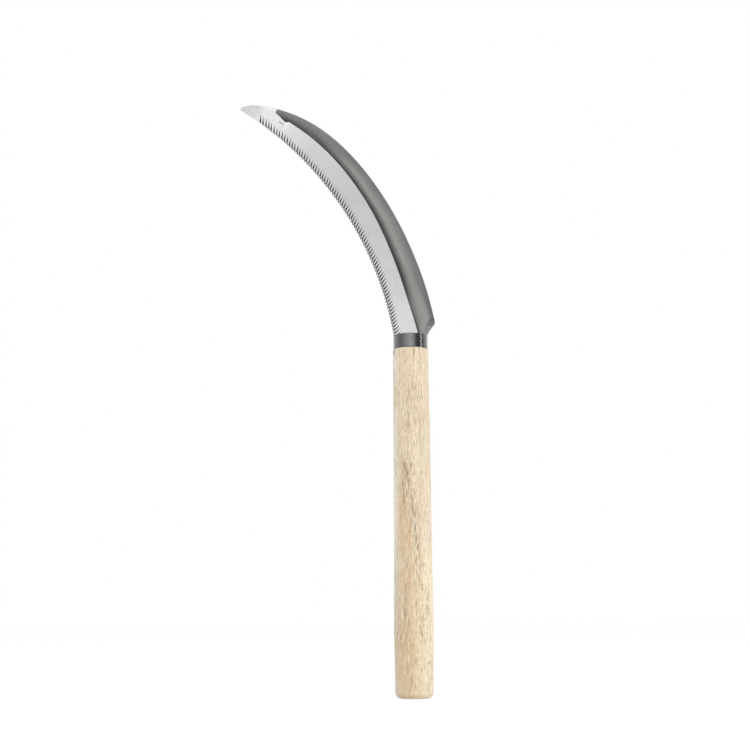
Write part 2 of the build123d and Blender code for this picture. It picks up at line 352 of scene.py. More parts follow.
# ------------------------------------------------------------------ steel of the blade
def mat_blade_front():
    N = Nodes("blade_front_steel")
    s, d, f, band, t = N.attr("a_s"), N.attr("a_d"), N.attr("a_f"), N.attr("a_band"), N.attr("a_t")
    p = N.object_mm()
    # bright ground bevel: fine marks left by the grinding wheel along the blade, and cloudy polish
    along = N.xyz(N.math("MULTIPLY", s, 0.06), N.math("MULTIPLY", d, 5.0), 0.0)
    marks = N.noise(along, 1.0, 4, 0.6)
    cloud = N.noise(p, 0.07, 3, 0.5)
    across = N.xyz(N.math("MULTIPLY", s, 3.2), N.math("MULTIPLY", d, 0.14), 3.7)
    cross = N.noise(across, 1.0, 3, 0.6)
    # painted reflection: the bevel's brightness along the blade, brightest as painted glare just past the guard's
    # mouth
    bevel_painted_reflection = N.ramp(N.maprange(s, 0, 200, 0, 1), [
        (0.00, (0.690, 0.694, 0.700)), (0.06, (0.680, 0.684, 0.690)), (0.16, (0.600, 0.603, 0.612)), (0.33, (0.545, 0.549, 0.558)),
        (0.55, (0.540, 0.544, 0.554)), (0.75, (0.640, 0.645, 0.656)), (0.815, (0.730, 0.735, 0.745)),
        (0.845, (0.93, 0.935, 0.945)), (0.915, (0.95, 0.955, 0.960)), (0.945, (0.80, 0.81, 0.81)), (1.0, (0.77, 0.78, 0.78))])
    bevel = N.mix(N.maprange(marks, 0.35, 0.65, 0.0, 0.10), bevel_painted_reflection, (0.55, 0.555, 0.565))
    bevel = N.mix(N.maprange(cloud, 0.40, 0.62, 0.0, 0.16), bevel, (0.86, 0.87, 0.88))
    bevel = N.mix(N.maprange(cross, 0.55, 0.8, 0.0, 0.18), bevel, (0.50, 0.50, 0.51))
    b_rough = N.maprange(N.math("ADD", marks, cloud), 0.6, 1.4, 0.25, 0.36)
    # dark back band, with painted shade and a painted highlight across it: black-grey painted shade next to the ridge,
    # a painted olive highlight in the middle, blue-grey at the back
    wob = N.math("ADD", f, N.math("MULTIPLY", N.math("SUBTRACT", N.noise(N.xyz(N.math("MULTIPLY", s, 0.035), 0.0, 1.3), 1.0, 2), 0.5), 0.16))
    band_tone_painted_shade = N.ramp(wob, [
        (0.00, (0.055, 0.055, 0.058)), (0.07, (0.066, 0.066, 0.070)), (0.15, (0.135, 0.135, 0.138)), (0.22, (0.215, 0.215, 0.212)),
        (0.30, (0.300, 0.301, 0.288)), (0.38, (0.385, 0.386, 0.360)), (0.48, (0.370, 0.372, 0.346)),
        (0.60, (0.318, 0.322, 0.308)), (0.72, (0.265, 0.272, 0.270)), (0.86, (0.222, 0.232, 0.242)), (1.00, (0.215, 0.226, 0.240))])
    # towards the point the painted shade and highlight across the band are weaker
    band_tone_painted_shade_tip = N.ramp(wob, [
        (0.00, (0.078, 0.078, 0.081)), (0.10, (0.098, 0.098, 0.101)), (0.25, (0.140, 0.141, 0.143)), (0.40, (0.195, 0.197, 0.197)),
        (0.60, (0.245, 0.249, 0.249)), (0.80, (0.262, 0.268, 0.272)), (1.00, (0.268, 0.276, 0.284))])
    # painted highlight: the band's painted sheen is stronger in the middle of the blade's length
    painted_light_gain = N.ramp(N.maprange(s, 0, 200, 0, 1), [
        (0.0, 0.90), (0.10, 0.94), (0.22, 1.02), (0.35, 1.06), (0.50, 1.02), (0.65, 0.95), (1.0, 0.95)])
    band_tone_painted_shade = N.mix(1.0, band_tone_painted_shade, painted_light_gain, "MULTIPLY")
    band_tone_painted_shade = N.mix(N.smooth(s, 112, 148), band_tone_painted_shade, band_tone_painted_shade_tip)
    # near the heel the painted shade and highlight sit at other shares of the band
    band_tone_painted_shade_heel = N.ramp(wob, [
        (0.00, (0.105, 0.105, 0.107)), (0.06, (0.175, 0.175, 0.174)), (0.14, (0.270, 0.270, 0.262)), (0.26, (0.345, 0.346, 0.330)),
        (0.40, (0.385, 0.386, 0.364)), (0.62, (0.395, 0.397, 0.378)), (0.72, (0.345, 0.348, 0.340)), (0.80, (0.235, 0.240, 0.244)),
        (0.88, (0.185, 0.190, 0.196)), (1.00, (0.170, 0.176, 0.182))])
    band_tone_painted_shade = N.mix(N.smooth(s, 34, 12), band_tone_painted_shade, band_tone_painted_shade_heel)
    # painted tone and painted shade near the heel cut, laid over its reflections
    band_tone_painted_shade = N.mix(N.math("MULTIPLY", N.attr("a_cut_painted_tone"), 0.85), band_tone_painted_shade, (0.360, 0.362, 0.345))
    band_tone_painted_shade = N.mix(N.math("MULTIPLY", N.attr("a_heel_painted_shade"), 0.85), band_tone_painted_shade, (0.118, 0.121, 0.126))
    brush = N.noise(N.xyz(N.math("MULTIPLY", s, 0.05), N.math("MULTIPLY", d, 3.0), 8.0), 1.0, 5, 0.65)
    blot = N.noise(N.xyz(N.math("MULTIPLY", s, 0.09), N.math("MULTIPLY", d, 0.35), 4.0), 1.0, 4, 0.6)
    band_tone_painted_shade = N.mix(N.maprange(brush, 0.35, 0.68, 0.0, 0.26), band_tone_painted_shade, (0.105, 0.107, 0.110))
    band_tone_painted_shade = N.mix(N.maprange(blot, 0.50, 0.75, 0.0, 0.22), band_tone_painted_shade, (0.36, 0.365, 0.36))
    k_rough = N.maprange(brush, 0.3, 0.7, 0.40, 0.52)
    # soft ragged border between them
    rag = N.math("ADD", band, N.math("MULTIPLY", N.math("SUBTRACT", N.noise(p, 1.6, 4, 0.6), 0.5), 0.22))
    mask = N.smooth(rag, -0.10, 0.12)
    # worn bright line along the very back edge
    worn = N.math("MULTIPLY", N.smooth(t, 0.988, 1.0), N.maprange(N.noise(p, 0.35, 3), 0.45, 0.62, 0.0, 0.5))
    col = N.mix(mask, bevel, band_tone_painted_shade)
    col = N.mix(worn, col, (0.45, 0.46, 0.47))
    rough = N.math("ADD", N.math("MULTIPLY", N.math("SUBTRACT", k_rough, b_rough), mask), b_rough)
    h = N.math("ADD", N.math("MULTIPLY", marks, 0.5), N.math("MULTIPLY", brush, mask))
    nrm = N.bump(h, 0.010, 0.30)
    b = N.principled(Base_Color=col, Metallic=1.0, Roughness=rough, Normal=nrm)
    return N.done(b.outputs[0])


def mat_groove(steep):
    N = Nodes("blade_groove_steep_steel" if steep else "blade_groove_steel")
    p = N.object_mm()
    d, share, sa = N.attr("a_d"), N.attr("a_share"), N.attr("a_s")
    n1 = N.noise(N.vmul(p, (2.0, 2.0, 2.0)), 1.0, 3, 0.6)
    bright = N.mix(N.maprange(n1, 0.35, 0.7, 0.0, 0.5), (0.80, 0.81, 0.82), (0.55, 0.555, 0.56))
    # painted shade in the grooves: the steep flank dark all over, the shallow flank dark below a line set by the
    # depth, lighter towards the inner end
    dark = N.mix(N.maprange(n1, 0.35, 0.7, 0.0, 0.6), (0.022, 0.023, 0.025), (0.085, 0.087, 0.090))
    dark = N.mix(N.smooth(d, 4.0, 5.6), dark, (0.210, 0.213, 0.220))
    # more painted shade on the teeth under the guard
    under = N.smooth(sa, 166.0, 169.0)
    if steep:
        col = dark
    else:
        lim = N.math("SUBTRACT", 0.28, N.math("MULTIPLY", N.math("ABSOLUTE", N.math("SUBTRACT", d, 1.9)), 0.26))
        lim = N.math("MAXIMUM", lim, -0.20)
        lim = N.math("SUBTRACT", lim, N.math("MULTIPLY", under, 0.35))
        k = N.smooth(N.math("SUBTRACT", share, lim), -0.10, 0.12)
        col = N.mix(k, bright, dark)
    b = N.principled(Base_Color=col, Metallic=0.9, Roughness=N.maprange(n1, 0.3, 0.7, 0.26, 0.40), Normal=N.bump(n1, 0.02, 0.3))
    return N.done(b.outputs[0])


def mat_blade_back():
    N = Nodes("blade_back_steel")
    s, d, t = N.attr("a_s"), N.attr("a_d"), N.attr("a_t")
    p = N.object_mm()
    strip = N.noise(N.xyz(N.math("MULTIPLY", s, 0.05), N.math("MULTIPLY", d, 2.6), 2.0), 1.0, 5, 0.65)
    cloud = N.noise(p, 0.06, 4, 0.55)
    dark = N.mix(N.maprange(strip, 0.35, 0.68, 0.0, 0.6), (0.235, 0.240, 0.245), (0.135, 0.138, 0.142))
    dark = N.mix(N.maprange(cloud, 0.42, 0.66, 0.0, 0.45), dark, (0.30, 0.302, 0.29))
    cross = N.noise(N.xyz(N.math("MULTIPLY", s, 2.6), N.math("MULTIPLY", d, 0.2), 0.0), 1.0, 3, 0.6)
    bright = N.mix(N.maprange(cross, 0.4, 0.7, 0.0, 0.4), (0.70, 0.705, 0.715), (0.52, 0.525, 0.53))
    edge = N.math("ADD", d, N.math("MULTIPLY", N.math("SUBTRACT", N.noise(p, 0.12, 3), 0.5), 2.2))
    m = N.smooth(edge, 7.3, 7.9)
    col = N.mix(m, bright, dark)
    rough = N.math("ADD", N.math("MULTIPLY", m, 0.14), N.maprange(strip, 0.3, 0.7, 0.28, 0.36))
    b = N.principled(Base_Color=col, Metallic=1.0, Roughness=rough, Normal=N.bump(strip, 0.010, 0.3))
    return N.done(b.outputs[0])


# ------------------------------------------------------------------ wood
def mat_wood():
    N = Nodes("handle_pale_wood")
    p = N.object_mm()
    x, y, z = N.sep(p)
    stain = N.attr("a_stain"); fleck_and_gap_shade = N.attr("a_fleck_and_gap_shade"); endg = N.attr("a_end")
    # slow drift of the grain direction, so that the lines wander
    drift = N.noise(N.vmul(p, (0.05, 0.05, 0.012)), 1.0, 2, 0.5)
    dx = N.math("MULTIPLY", N.math("SUBTRACT", drift, 0.5), 5.0)
    q = N.xyz(N.math("ADD", x, dx), N.math("ADD", y, dx), z)
    # broad figure
    fig = N.noise(N.vmul(q, (0.26, 0.26, 0.016)), 1.0, 4, 0.55)
    base = N.ramp(fig, [(0.28, (0.660, 0.540, 0.375)), (0.42, (0.715, 0.600, 0.430)), (0.55, (0.765, 0.655, 0.485)), (0.72, (0.825, 0.730, 0.575))])
    pink = N.noise(N.vmul(q, (0.42, 0.42, 0.03)), 1.0, 3, 0.5)
    base = N.mix(N.maprange(pink, 0.50, 0.70, 0.0, 0.38), base, (0.800, 0.635, 0.490))
    green = N.noise(N.vadd(N.vmul(q, (0.5, 0.5, 0.03)), (7.1, 3.3, 1.0)), 1.0, 3, 0.5)
    base = N.mix(N.maprange(green, 0.54, 0.74, 0.0, 0.28), base, (0.700, 0.640, 0.500))
    # painted shade on the left side: greyer, darker low down and paler higher up
    pale = N.mix(N.smooth(z, 62, 128), (0.615, 0.580, 0.500), (0.880, 0.845, 0.765))
    base = N.mix(N.math("MULTIPLY", N.attr("a_left_painted_shade"), 0.76), base, pale)
    # warmer low on the front, and painted light, lighter, low on the right side
    base = N.mix(N.math("MULTIPLY", N.attr("a_warm"), 0.72), base, (0.850, 0.690, 0.460))
    base = N.mix(N.math("MULTIPLY", N.attr("a_right_painted_light"), 0.72), base, (0.955, 0.830, 0.645))
    # patches
    base = N.mix(N.math("MULTIPLY", stain, 0.76), base, (0.620, 0.412, 0.238))
    # fine fibre lines
    fib = N.noise(N.vmul(q, (3.4, 3.4, 0.09)), 1.0, 4, 0.7)
    base = N.mix(N.maprange(fib, 0.38, 0.66, 0.0, 0.48), base, (0.500, 0.385, 0.250))
    # pore flecks: short dark dashes in two sizes, denser in patches
    patch = N.noise(N.vmul(q, (0.12, 0.12, 0.018)), 1.0, 3, 0.6)
    dash = N.noise(N.vmul(q, (1.45, 1.45, 0.19)), 1.0, 2.5, 0.62, 0.35)
    dense = N.math("ADD", N.maprange(patch, 0.38, 0.66, 0.0, 0.06), N.math("MULTIPLY", N.attr("a_dense"), 0.12))
    big = N.smooth(N.math("ADD", dash, dense), 0.600, 0.690)
    dash2 = N.noise(N.vadd(N.vmul(q, (2.6, 2.6, 0.34)), (3.0, 9.0, 4.0)), 1.0, 2, 0.6, 0.3)
    small = N.smooth(N.math("ADD", dash2, dense), 0.60, 0.70)
    flecks = N.math("MAXIMUM", N.math("MULTIPLY", big, 0.72), N.math("MULTIPLY", small, 0.52))
    base = N.mix(flecks, base, (0.330, 0.250, 0.160))
    # light rays between the pores
    ray = N.noise(N.vadd(N.vmul(q, (1.7, 1.7, 0.16)), (5.0, 1.0, 2.0)), 1.0, 2, 0.5)
    base = N.mix(N.maprange(ray, 0.53, 0.70, 0.0, 0.66), base, (0.900, 0.815, 0.665))
    # single marks, and the painted shadow of the kerf gap under the ferrule
    base = N.mix(N.math("MULTIPLY", fleck_and_gap_shade, 0.84), base, (0.215, 0.155, 0.100))
    # end grain of the butt
    ringd = N.math("SQRT", N.math("ADD", N.math("POWER", N.math("ADD", x, 31.0), 2.0), N.math("POWER", N.math("SUBTRACT", y, 12.0), 2.0)))
    rings = N.new("ShaderNodeTexWave", wave_type="BANDS", bands_direction="X")
    N.put(rings.inputs["Vector"], N.xyz(ringd, 0.0, 0.0))
    rings.inputs["Scale"].default_value = 0.11
    rings.inputs["Distortion"].default_value = 1.2
    pores = N.voronoi(N.xyz(x, y, 0.0), 1.5)
    endc = N.mix(N.maprange(rings.outputs["Fac"], 0.3, 0.9, 0.0, 0.55), (0.640, 0.505, 0.330), (0.480, 0.350, 0.215))
    endc = N.mix(N.smooth(pores, 0.22, 0.08), endc, (0.22, 0.16, 0.10))
    base = N.mix(endg, base, endc)
    rough = N.maprange(N.math("ADD", fib, flecks), 0.3, 1.1, 0.50, 0.74)
    h = N.math("SUBTRACT", N.math("MULTIPLY", fib, 0.35), N.math("MULTIPLY", flecks, 1.3))
    b = N.principled(Base_Color=base, Roughness=rough, Normal=N.bump(h, 0.05, 0.55))
    b.inputs["Specular IOR Level"].default_value = 0.32
    return N.done(b.outputs[0])


def mat_kerf_wood():
    N = Nodes("handle_sawn_wood")
    p = N.object_mm()
    saw = N.noise(N.vmul(p, (0.6, 2.0, 3.2)), 1.0, 4, 0.6)
    col = N.mix(N.maprange(saw, 0.3, 0.7, 0.0, 0.7), (0.480, 0.365, 0.230), (0.300, 0.215, 0.130))
    b = N.principled(Base_Color=col, Roughness=0.85, Normal=N.bump(saw, 0.10, 0.6))
    return N.done(b.outputs[0])


# ------------------------------------------------------------------ ferrule, nail, guard
def mat_ferrule():
    N = Nodes("ferrule_black_steel")
    p = N.object_mm()
    edge = N.attr("a_edge"); seam = N.attr("a_seam")
    x, y, z = N.sep(p)
    ang = N.math("ARCTAN2", x, y)
    roll = N.noise(N.xyz(N.math("MULTIPLY", ang, 2.0), 0.0, N.math("MULTIPLY", z, 3.0)), 1.0, 4, 0.6)
    vert = N.noise(N.xyz(N.math("MULTIPLY", ang, 26.0), 0.0, N.math("MULTIPLY", z, 0.30)), 1.0, 3, 0.6)
    mott = N.noise(p, 1.1, 4, 0.6)
    col = N.mix(N.maprange(vert, 0.38, 0.68, 0.0, 0.65), (0.294, 0.299, 0.307), (0.162, 0.166, 0.170))
    col = N.mix(N.maprange(mott, 0.55, 0.75, 0.0, 0.30), col, (0.40, 0.405, 0.41))
    # painted highlight at the front of the ring and painted shade to its left, fixed round the ring
    deg = N.math("MULTIPLY", N.math("ARCTAN2", x, N.math("MULTIPLY", y, -1.0)), 57.2958)
    painted_light_gain = N.ramp(N.maprange(deg, -90, 90, 0, 1), [
        (0.0, (0.83,) * 3), (0.25, (0.83,) * 3), (0.32, (0.70,) * 3), (0.40, (0.80,) * 3), (0.485, (0.99,) * 3), (0.56, (0.87,) * 3), (0.65, (0.83,) * 3), (1.0, (0.83,) * 3)])
    col = N.mix(1.0, col, painted_light_gain, "MULTIPLY")
    wear = N.math("MULTIPLY", edge, N.maprange(mott, 0.34, 0.60, 0.15, 1.0))
    col = N.mix(N.math("MULTIPLY", wear, 0.7), col, (0.055, 0.056, 0.058))
    # painted glints: short bright dashes just under the top rim
    rim_painted_glints = N.maprange(N.noise(N.xyz(N.math("MULTIPLY", ang, 11.0), 0.0, 2.0), 1.0, 2, 0.5), 0.56, 0.61, 0.0, 0.85)
    col = N.mix(N.math("MULTIPLY", rim_painted_glints, N.smooth(z, FER_TOP - 0.55, FER_TOP - 0.25)), col, (0.62, 0.625, 0.63))
    # painted shade in and beside the seam's gap
    gap = N.attr("a_seam_painted_shade")
    col = N.mix(N.math("MULTIPLY", gap, 0.85), col, (0.030, 0.030, 0.032))
    # bright broken line along the lip on the lapping side
    lip_breaks = N.noise(N.xyz(0.0, 0.0, N.math("MULTIPLY", z, 0.9)), 1.0, 3, 0.7)
    lip_bright = N.math("MULTIPLY", seam, N.maprange(lip_breaks, 0.40, 0.58, 0.25, 1.0))
    col = N.mix(lip_bright, col, (0.86, 0.865, 0.87))
    rough = N.maprange(N.math("ADD", roll, mott), 0.6, 1.4, 0.20, 0.33)
    rough = N.math("ADD", rough, N.math("MULTIPLY", lip_bright, 0.30))
    metal = N.math("SUBTRACT", 1.0, N.math("MULTIPLY", lip_bright, 0.75))
    b = N.principled(Base_Color=col, Metallic=metal, Roughness=rough, Normal=N.bump(N.math("ADD", roll, vert), 0.018, 0.45))
    return N.done(b.outputs[0])


def mat_nail():
    N = Nodes("nail_steel")
    p = N.object_mm()
    n = N.noise(p, 1.4, 4, 0.6)
    v = N.voronoi(p, 0.9)
    col = N.mix(N.maprange(n, 0.35, 0.7, 0.0, 0.8), (0.46, 0.465, 0.47), (0.23, 0.22, 0.205))
    b = N.principled(Base_Color=col, Metallic=1.0, Roughness=N.maprange(n, 0.3, 0.7, 0.30, 0.48), Normal=N.bump(N.math("ADD", n, v), 0.05, 0.4))
    return N.done(b.outputs[0])


def mat_guard():
    N = Nodes("guard_clear_plastic")
    p = N.object_mm()
    rim = N.attr("a_rim")
    wave = N.noise(N.vmul(p, (0.15, 0.15, 0.15)), 1.0, 2, 0.5, 0.5)
    fine = N.noise(p, 0.5, 2, 0.5)
    nrm = N.bump(N.math("ADD", wave, N.math("MULTIPLY", fine, 0.03)), 0.16, 0.4)
    fres = N.new("ShaderNodeFresnel"); fres.inputs["IOR"].default_value = 1.42
    N.put(fres.inputs["Normal"], nrm)
    gl = N.new("ShaderNodeBsdfGlossy")
    N.put(gl.inputs["Color"], (0.97, 0.975, 0.98))
    N.put(gl.inputs["Roughness"], N.maprange(fine, 0.3, 0.7, 0.10, 0.18))
    N.put(gl.inputs["Normal"], nrm)
    tr = N.new("ShaderNodeBsdfTransparent")
    N.put(tr.inputs["Color"], N.mix(N.maprange(wave, 0.4, 0.6, 0.0, 1.0), (0.99, 0.988, 0.988), (0.976, 0.973, 0.973)))
    lw = N.new("ShaderNodeLayerWeight"); lw.inputs["Blend"].default_value = 0.5
    turn = N.smooth(lw.outputs["Facing"], 0.50, 0.96)
    thick = N.math("MAXIMUM", N.math("MULTIPLY", turn, 0.85), N.math("MULTIPLY", rim, 0.22))
    N.put(tr.inputs["Color"], N.mix(thick, N.mix(N.maprange(wave, 0.4, 0.6, 0.0, 1.0), (0.988, 0.986, 0.986), (0.968, 0.966, 0.967)), (0.700, 0.703, 0.712)))
    milk = N.new("ShaderNodeBsdfDiffuse")
    N.put(milk.inputs["Color"], (0.93, 0.94, 0.94))
    m1 = N.new("ShaderNodeMixShader")
    N.put(m1.inputs[0], N.math("ADD", N.maprange(wave, 0.40, 0.68, 0.01, 0.05), N.math("MULTIPLY", rim, 0.10)))
    N.t.links.new(tr.outputs[0], m1.inputs[1]); N.t.links.new(milk.outputs[0], m1.inputs[2])
    fold_painted_shade = N.new("ShaderNodeBsdfDiffuse")      # painted shade of a small fold near the mouth
    N.put(fold_painted_shade.inputs["Color"], (0.22, 0.21, 0.23))
    m3 = N.new("ShaderNodeMixShader")
    N.put(m3.inputs[0], N.math("MULTIPLY", N.attr("a_fold_painted_shade"), 0.75))
    N.t.links.new(m1.outputs[0], m3.inputs[1]); N.t.links.new(fold_painted_shade.outputs[0], m3.inputs[2])
    m1 = m3
    m2 = N.new("ShaderNodeMixShader")
    N.put(m2.inputs[0], N.math("MINIMUM", N.math("MULTIPLY", fres.outputs[0], 0.8), 0.5))
    N.t.links.new(m1.outputs[0], m2.inputs[1]); N.t.links.new(gl.outputs[0], m2.inputs[2])
    return N.done(m2.outputs[0])


def mat_guard_inside():
    N = Nodes("guard_clear_inside")
    p = N.object_mm()
    n = N.noise(p, 0.4, 2, 0.5)
    tr = N.new("ShaderNodeBsdfTransparent")
    N.put(tr.inputs["Color"], N.mix(n, (0.995, 0.998, 0.998), (0.985, 0.99, 0.99)))
    gl = N.new("ShaderNodeBsdfGlossy")
    N.put(gl.inputs["Roughness"], N.maprange(n, 0.3, 0.7, 0.06, 0.12))
    N.put(gl.inputs["Normal"], N.bump(n, 0.2, 0.3))
    m = N.new("ShaderNodeMixShader"); m.inputs[0].default_value = 0.012
    N.t.links.new(tr.outputs[0], m.inputs[1]); N.t.links.new(gl.outputs[0], m.inputs[2])
    return N.done(m.outputs[0])


def mat_floor():
    N = Nodes("studio_floor")
    p = N.object_mm()
    n = N.noise(p, 0.01, 2)
    dif = N.new("ShaderNodeBsdfDiffuse")
    N.put(dif.inputs["Color"], N.mix(n, (0.93, 0.93, 0.93), (0.95, 0.95, 0.95)))
    em = N.new("ShaderNodeEmission")
    N.put(em.inputs["Color"], (1.0, 1.0, 1.0)); em.inputs["Strength"].default_value = 1.06
    lp = N.new("ShaderNodeLightPath")
    mx = N.new("ShaderNodeMixShader")
    N.put(mx.inputs[0], N.math("MULTIPLY", lp.outputs["Is Camera Ray"], 0.80))
    N.t.links.new(dif.outputs[0], mx.inputs[1]); N.t.links.new(em.outputs[0], mx.inputs[2])
    # seen from below the floor is clear, so that the underside can be looked at
    geo = N.new("ShaderNodeNewGeometry"); clear = N.new("ShaderNodeBsdfTransparent"); side = N.new("ShaderNodeMixShader")
    toward = N.new("ShaderNodeSeparateXYZ")
    N.t.links.new(geo.outputs["Incoming"], toward.inputs[0])
    close = N.math("LESS_THAN", lp.outputs["Ray Length"], 0.0015)      # and light reaches the flat of the butt
    N.put(side.inputs[0], N.math("MAXIMUM", N.math("LESS_THAN", toward.outputs[2], 0.0), close))
    N.t.links.new(mx.outputs[0], side.inputs[1]); N.t.links.new(clear.outputs[0], side.inputs[2])
    return N.done(side.outputs[0])


M_FRONT, M_GROOVE, M_BACK, M_STEEP = mat_blade_front(), mat_groove(False), mat_blade_back(), mat_groove(True)
M_WOOD, M_KERF, M_FERRULE, M_NAIL, M_GUARD, M_GUARD_IN = mat_wood(), mat_kerf_wood(), mat_ferrule(), mat_nail(), mat_guard(), mat_guard_inside()


# ------------------------------------------------------------------ blade
def cross_lines():
    """Stations along the blade: a point on the edge arc and its partner on the back contour."""
    L_edge = math.radians(A_TIP - A_HEEL) * EDGE_R
    # back contour from the shoulder, up the heel cut and along the back to the point
    up = heel.xy[::-1][::40]
    c1 = np.vstack([up, [HEEL[0]]])
    back = spine.xy[::-1][::8]
    back = back[back[:, 1] > HEEL[0][1] + 0.35]
    back = np.vstack([back, [SPINE[0]]]) if np.hypot(*(back[-1] - SPINE[0])) > 1e-6 else back
    contour = np.vstack([c1, back])
    sc = np.r_[0, np.cumsum(np.hypot(*np.diff(contour, axis=0).T))]
    s_corner = sc[len(c1) - 1]
    # radial partner of every edge station
    n = 250
    se = np.linspace(0, 1, n + 1)
    se = se * L_edge
    ang = A_HEEL + np.degrees(se / EDGE_R)
    cang = edge_deg(contour)
    order = np.arange(len(contour)) >= len(c1) - 1
    radial = np.interp(ang, cang[order], sc[order])
    s14 = 22.0
    p14 = float(np.interp(A_HEEL + math.degrees(s14 / EDGE_R), cang[order], sc[order]))
    sp = np.where(se < s14, se * p14 / s14, radial)
    # close up towards the nose
    tipw = np.clip((se - (L_edge - 10)) / 10, 0, 1) ** 2
    sp = sp * (1 - tipw) + (sc[-1] - (L_edge - se) * 1.0) * tipw
    k = int(np.argmin(abs(sp - s_corner)))
    sp[k] = s_corner
    sp[0], sp[-1] = 0.0, sc[-1]
    E = edge_pt(ang)
    P = np.stack([np.interp(sp, sc, contour[:, 0]), np.interp(sp, sc, contour[:, 1])], 1)
    return se, E, P


def ridge_share(E, P):
    """Where the ridge crosses the line from E to P, as a share of its length (may be above 1)."""
    out = np.zeros(len(E))
    R = ridge.xy
    for i in range(len(E)):
        d = P[i] - E[i]
        n = np.array([-d[1], d[0]])
        side = (R - E[i]) @ n
        j = np.where(np.sign(side[:-1]) != np.sign(side[1:]))[0]
        best = 1.6
        for a in j:
            w = side[a] / (side[a] - side[a + 1])
            q = R[a] * (1 - w) + R[a + 1] * w
            t = ((q - E[i]) @ d) / (d @ d)
            if t > 0.2:
                best = min(best, t)
        out[i] = best
    return out


def band_height(f, width):
    """Depth behind the ridge at share f of the band."""
    return HOLLOW * min(width / 8.0, 1.0) * (3.3 * f - 2.6 * f * f)


def build_blade():
    se, E, P = cross_lines()
    tr = ridge_share(E, P)
    n = len(E)
    NB, NK = 16, 14                         # cells across the bevel and across the back band
    cols = []
    for i in range(n):
        w = np.hypot(*(P[i] - E[i]))
        r = tr[i]
        rr = min(r, 1.0)
        ts = [rr * k / NB for k in range(NB + 1)]
        ts += [rr + (1 - rr) * k / NK for k in range(1, NK + 1)]
        col = []
        for k, t in enumerate(ts):
            q = E[i] + (P[i] - E[i]) * t
            if i == n - 1:                  # the nose is an arc
                q = q + np.array([-0.42, 0.12]) * 4 * t * (1 - t)
            if k <= NB:
                y = Y_BACK - (T_EDGE + (Y_BACK - T_EDGE - Y_FRONT) * t / r)
            else:
                f = (t - rr) / max(1 - rr, 1e-6)
                y = Y_FRONT + band_height(f, w * (1 - rr))
                if rr >= 1.0 or w * (1 - rr) < 0.02:
                    y = Y_BACK - (T_EDGE + (Y_BACK - T_EDGE - Y_FRONT) * 1.0 / r)
            col.append((q, y, t))
        cols.append(col)
    m = NB + NK + 1
    rnd = 0.20                              # rounding of the back's two edges
    verts, index = [], {}
    for i in range(n):
        for k in range(m):
            q, y, t = cols[i][k]
            if k == m - 1:                  # pull the last point inwards by the rounding
                q = q + (E[i] - P[i]) / np.hypot(*(E[i] - P[i])) * rnd
            index["f", i, k] = len(verts); verts.append((q[0], y, q[1]))
        for k in range(m):
            q, y, t = cols[i][k]
            if k == m - 1:
                q = q + (E[i] - P[i]) / np.hypot(*(E[i] - P[i])) * rnd
            index["b", i, k] = len(verts); verts.append((q[0], Y_BACK, q[1]))
        # rounded back: three points on each side
        qo = cols[i][m - 1][0]
        inn = (E[i] - P[i]) / np.hypot(*(E[i] - P[i]))
        yf = cols[i][m - 1][1]
        for j, a in enumerate((30, 60, 90)):
            c, s_ = math.cos(math.radians(a)), math.sin(math.radians(a))
            q = qo + inn * rnd * (1 - s_)
            index["rf", i, j] = len(verts); verts.append((q[0], yf + rnd * (1 - c), q[1]))
        for j, a in enumerate((90, 60, 30)):
            c, s_ = math.cos(math.radians(a)), math.sin(math.radians(a))
            q = qo + inn * rnd * (1 - s_)
            index["rb", i, j] = len(verts); verts.append((q[0], Y_BACK - rnd * (1 - c), q[1]))
    faces, mat = [], []

    def quad(a, b, c, d, mi):
        ids = []
        for v in (a, b, c, d):
            if v not in ids:
                ids.append(v)
        if len(ids) >= 3:
            faces.append(ids); mat.append(mi)

    ring = [("f", k) for k in range(m)] + [("rf", j) for j in range(3)] + [("rb", j) for j in range(3)] + [("b", k) for k in range(m - 1, -1, -1)]
    for i in range(n - 1):
        for u in range(len(ring)):
            a, b = ring[u], ring[(u + 1) % len(ring)]
            mi = 2 if (a[0] == "b" and b[0] == "b") else 0
            quad(index[a[0], i, a[1]], index[b[0], i, b[1]], index[b[0], i + 1, b[1]], index[a[0], i + 1, a[1]], mi)
    for i in (0, n - 1):                     # shoulder and nose walls
        for k in range(m - 1):
            quad(index["f", i, k], index["f", i, k + 1], index["b", i, k + 1], index["b", i, k], 0)
        faces.append([index["f", i, m - 1]] + [index["rf", i, j] for j in range(3)] + [index["rb", i, j] for j in range(3)] + [index["b", i, m - 1]]); mat.append(0)
    me = make_mesh("blade_mesh", verts, faces, [M_FRONT, M_GROOVE, M_BACK, M_STEEP], mat)
    print("blade base open edges", tidy(me, 2e-7), len(me.polygons))
    obj = link("saw_blade", me)
    return obj, (se, E, P, tr)


def build_tang():
    v, f = [], []
    o = np.array(TANG, float)
    for y in (TANG_Y, Y_BACK):
        for q in o:
            v.append((q[0], y, q[1]))
    k = len(o)
    f.append(list(range(k))); f.append(list(range(2 * k - 1, k - 1, -1)))
    for i in range(k):
        j = (i + 1) % k
        f.append((i, i + k, j + k, j))
    me = make_mesh("tang_mesh", v, f, [M_FRONT, M_GROOVE, M_BACK, M_STEEP], [0, 2] + [0] * k)
    fix_normals(me)
    return link("tang_tmp", me)


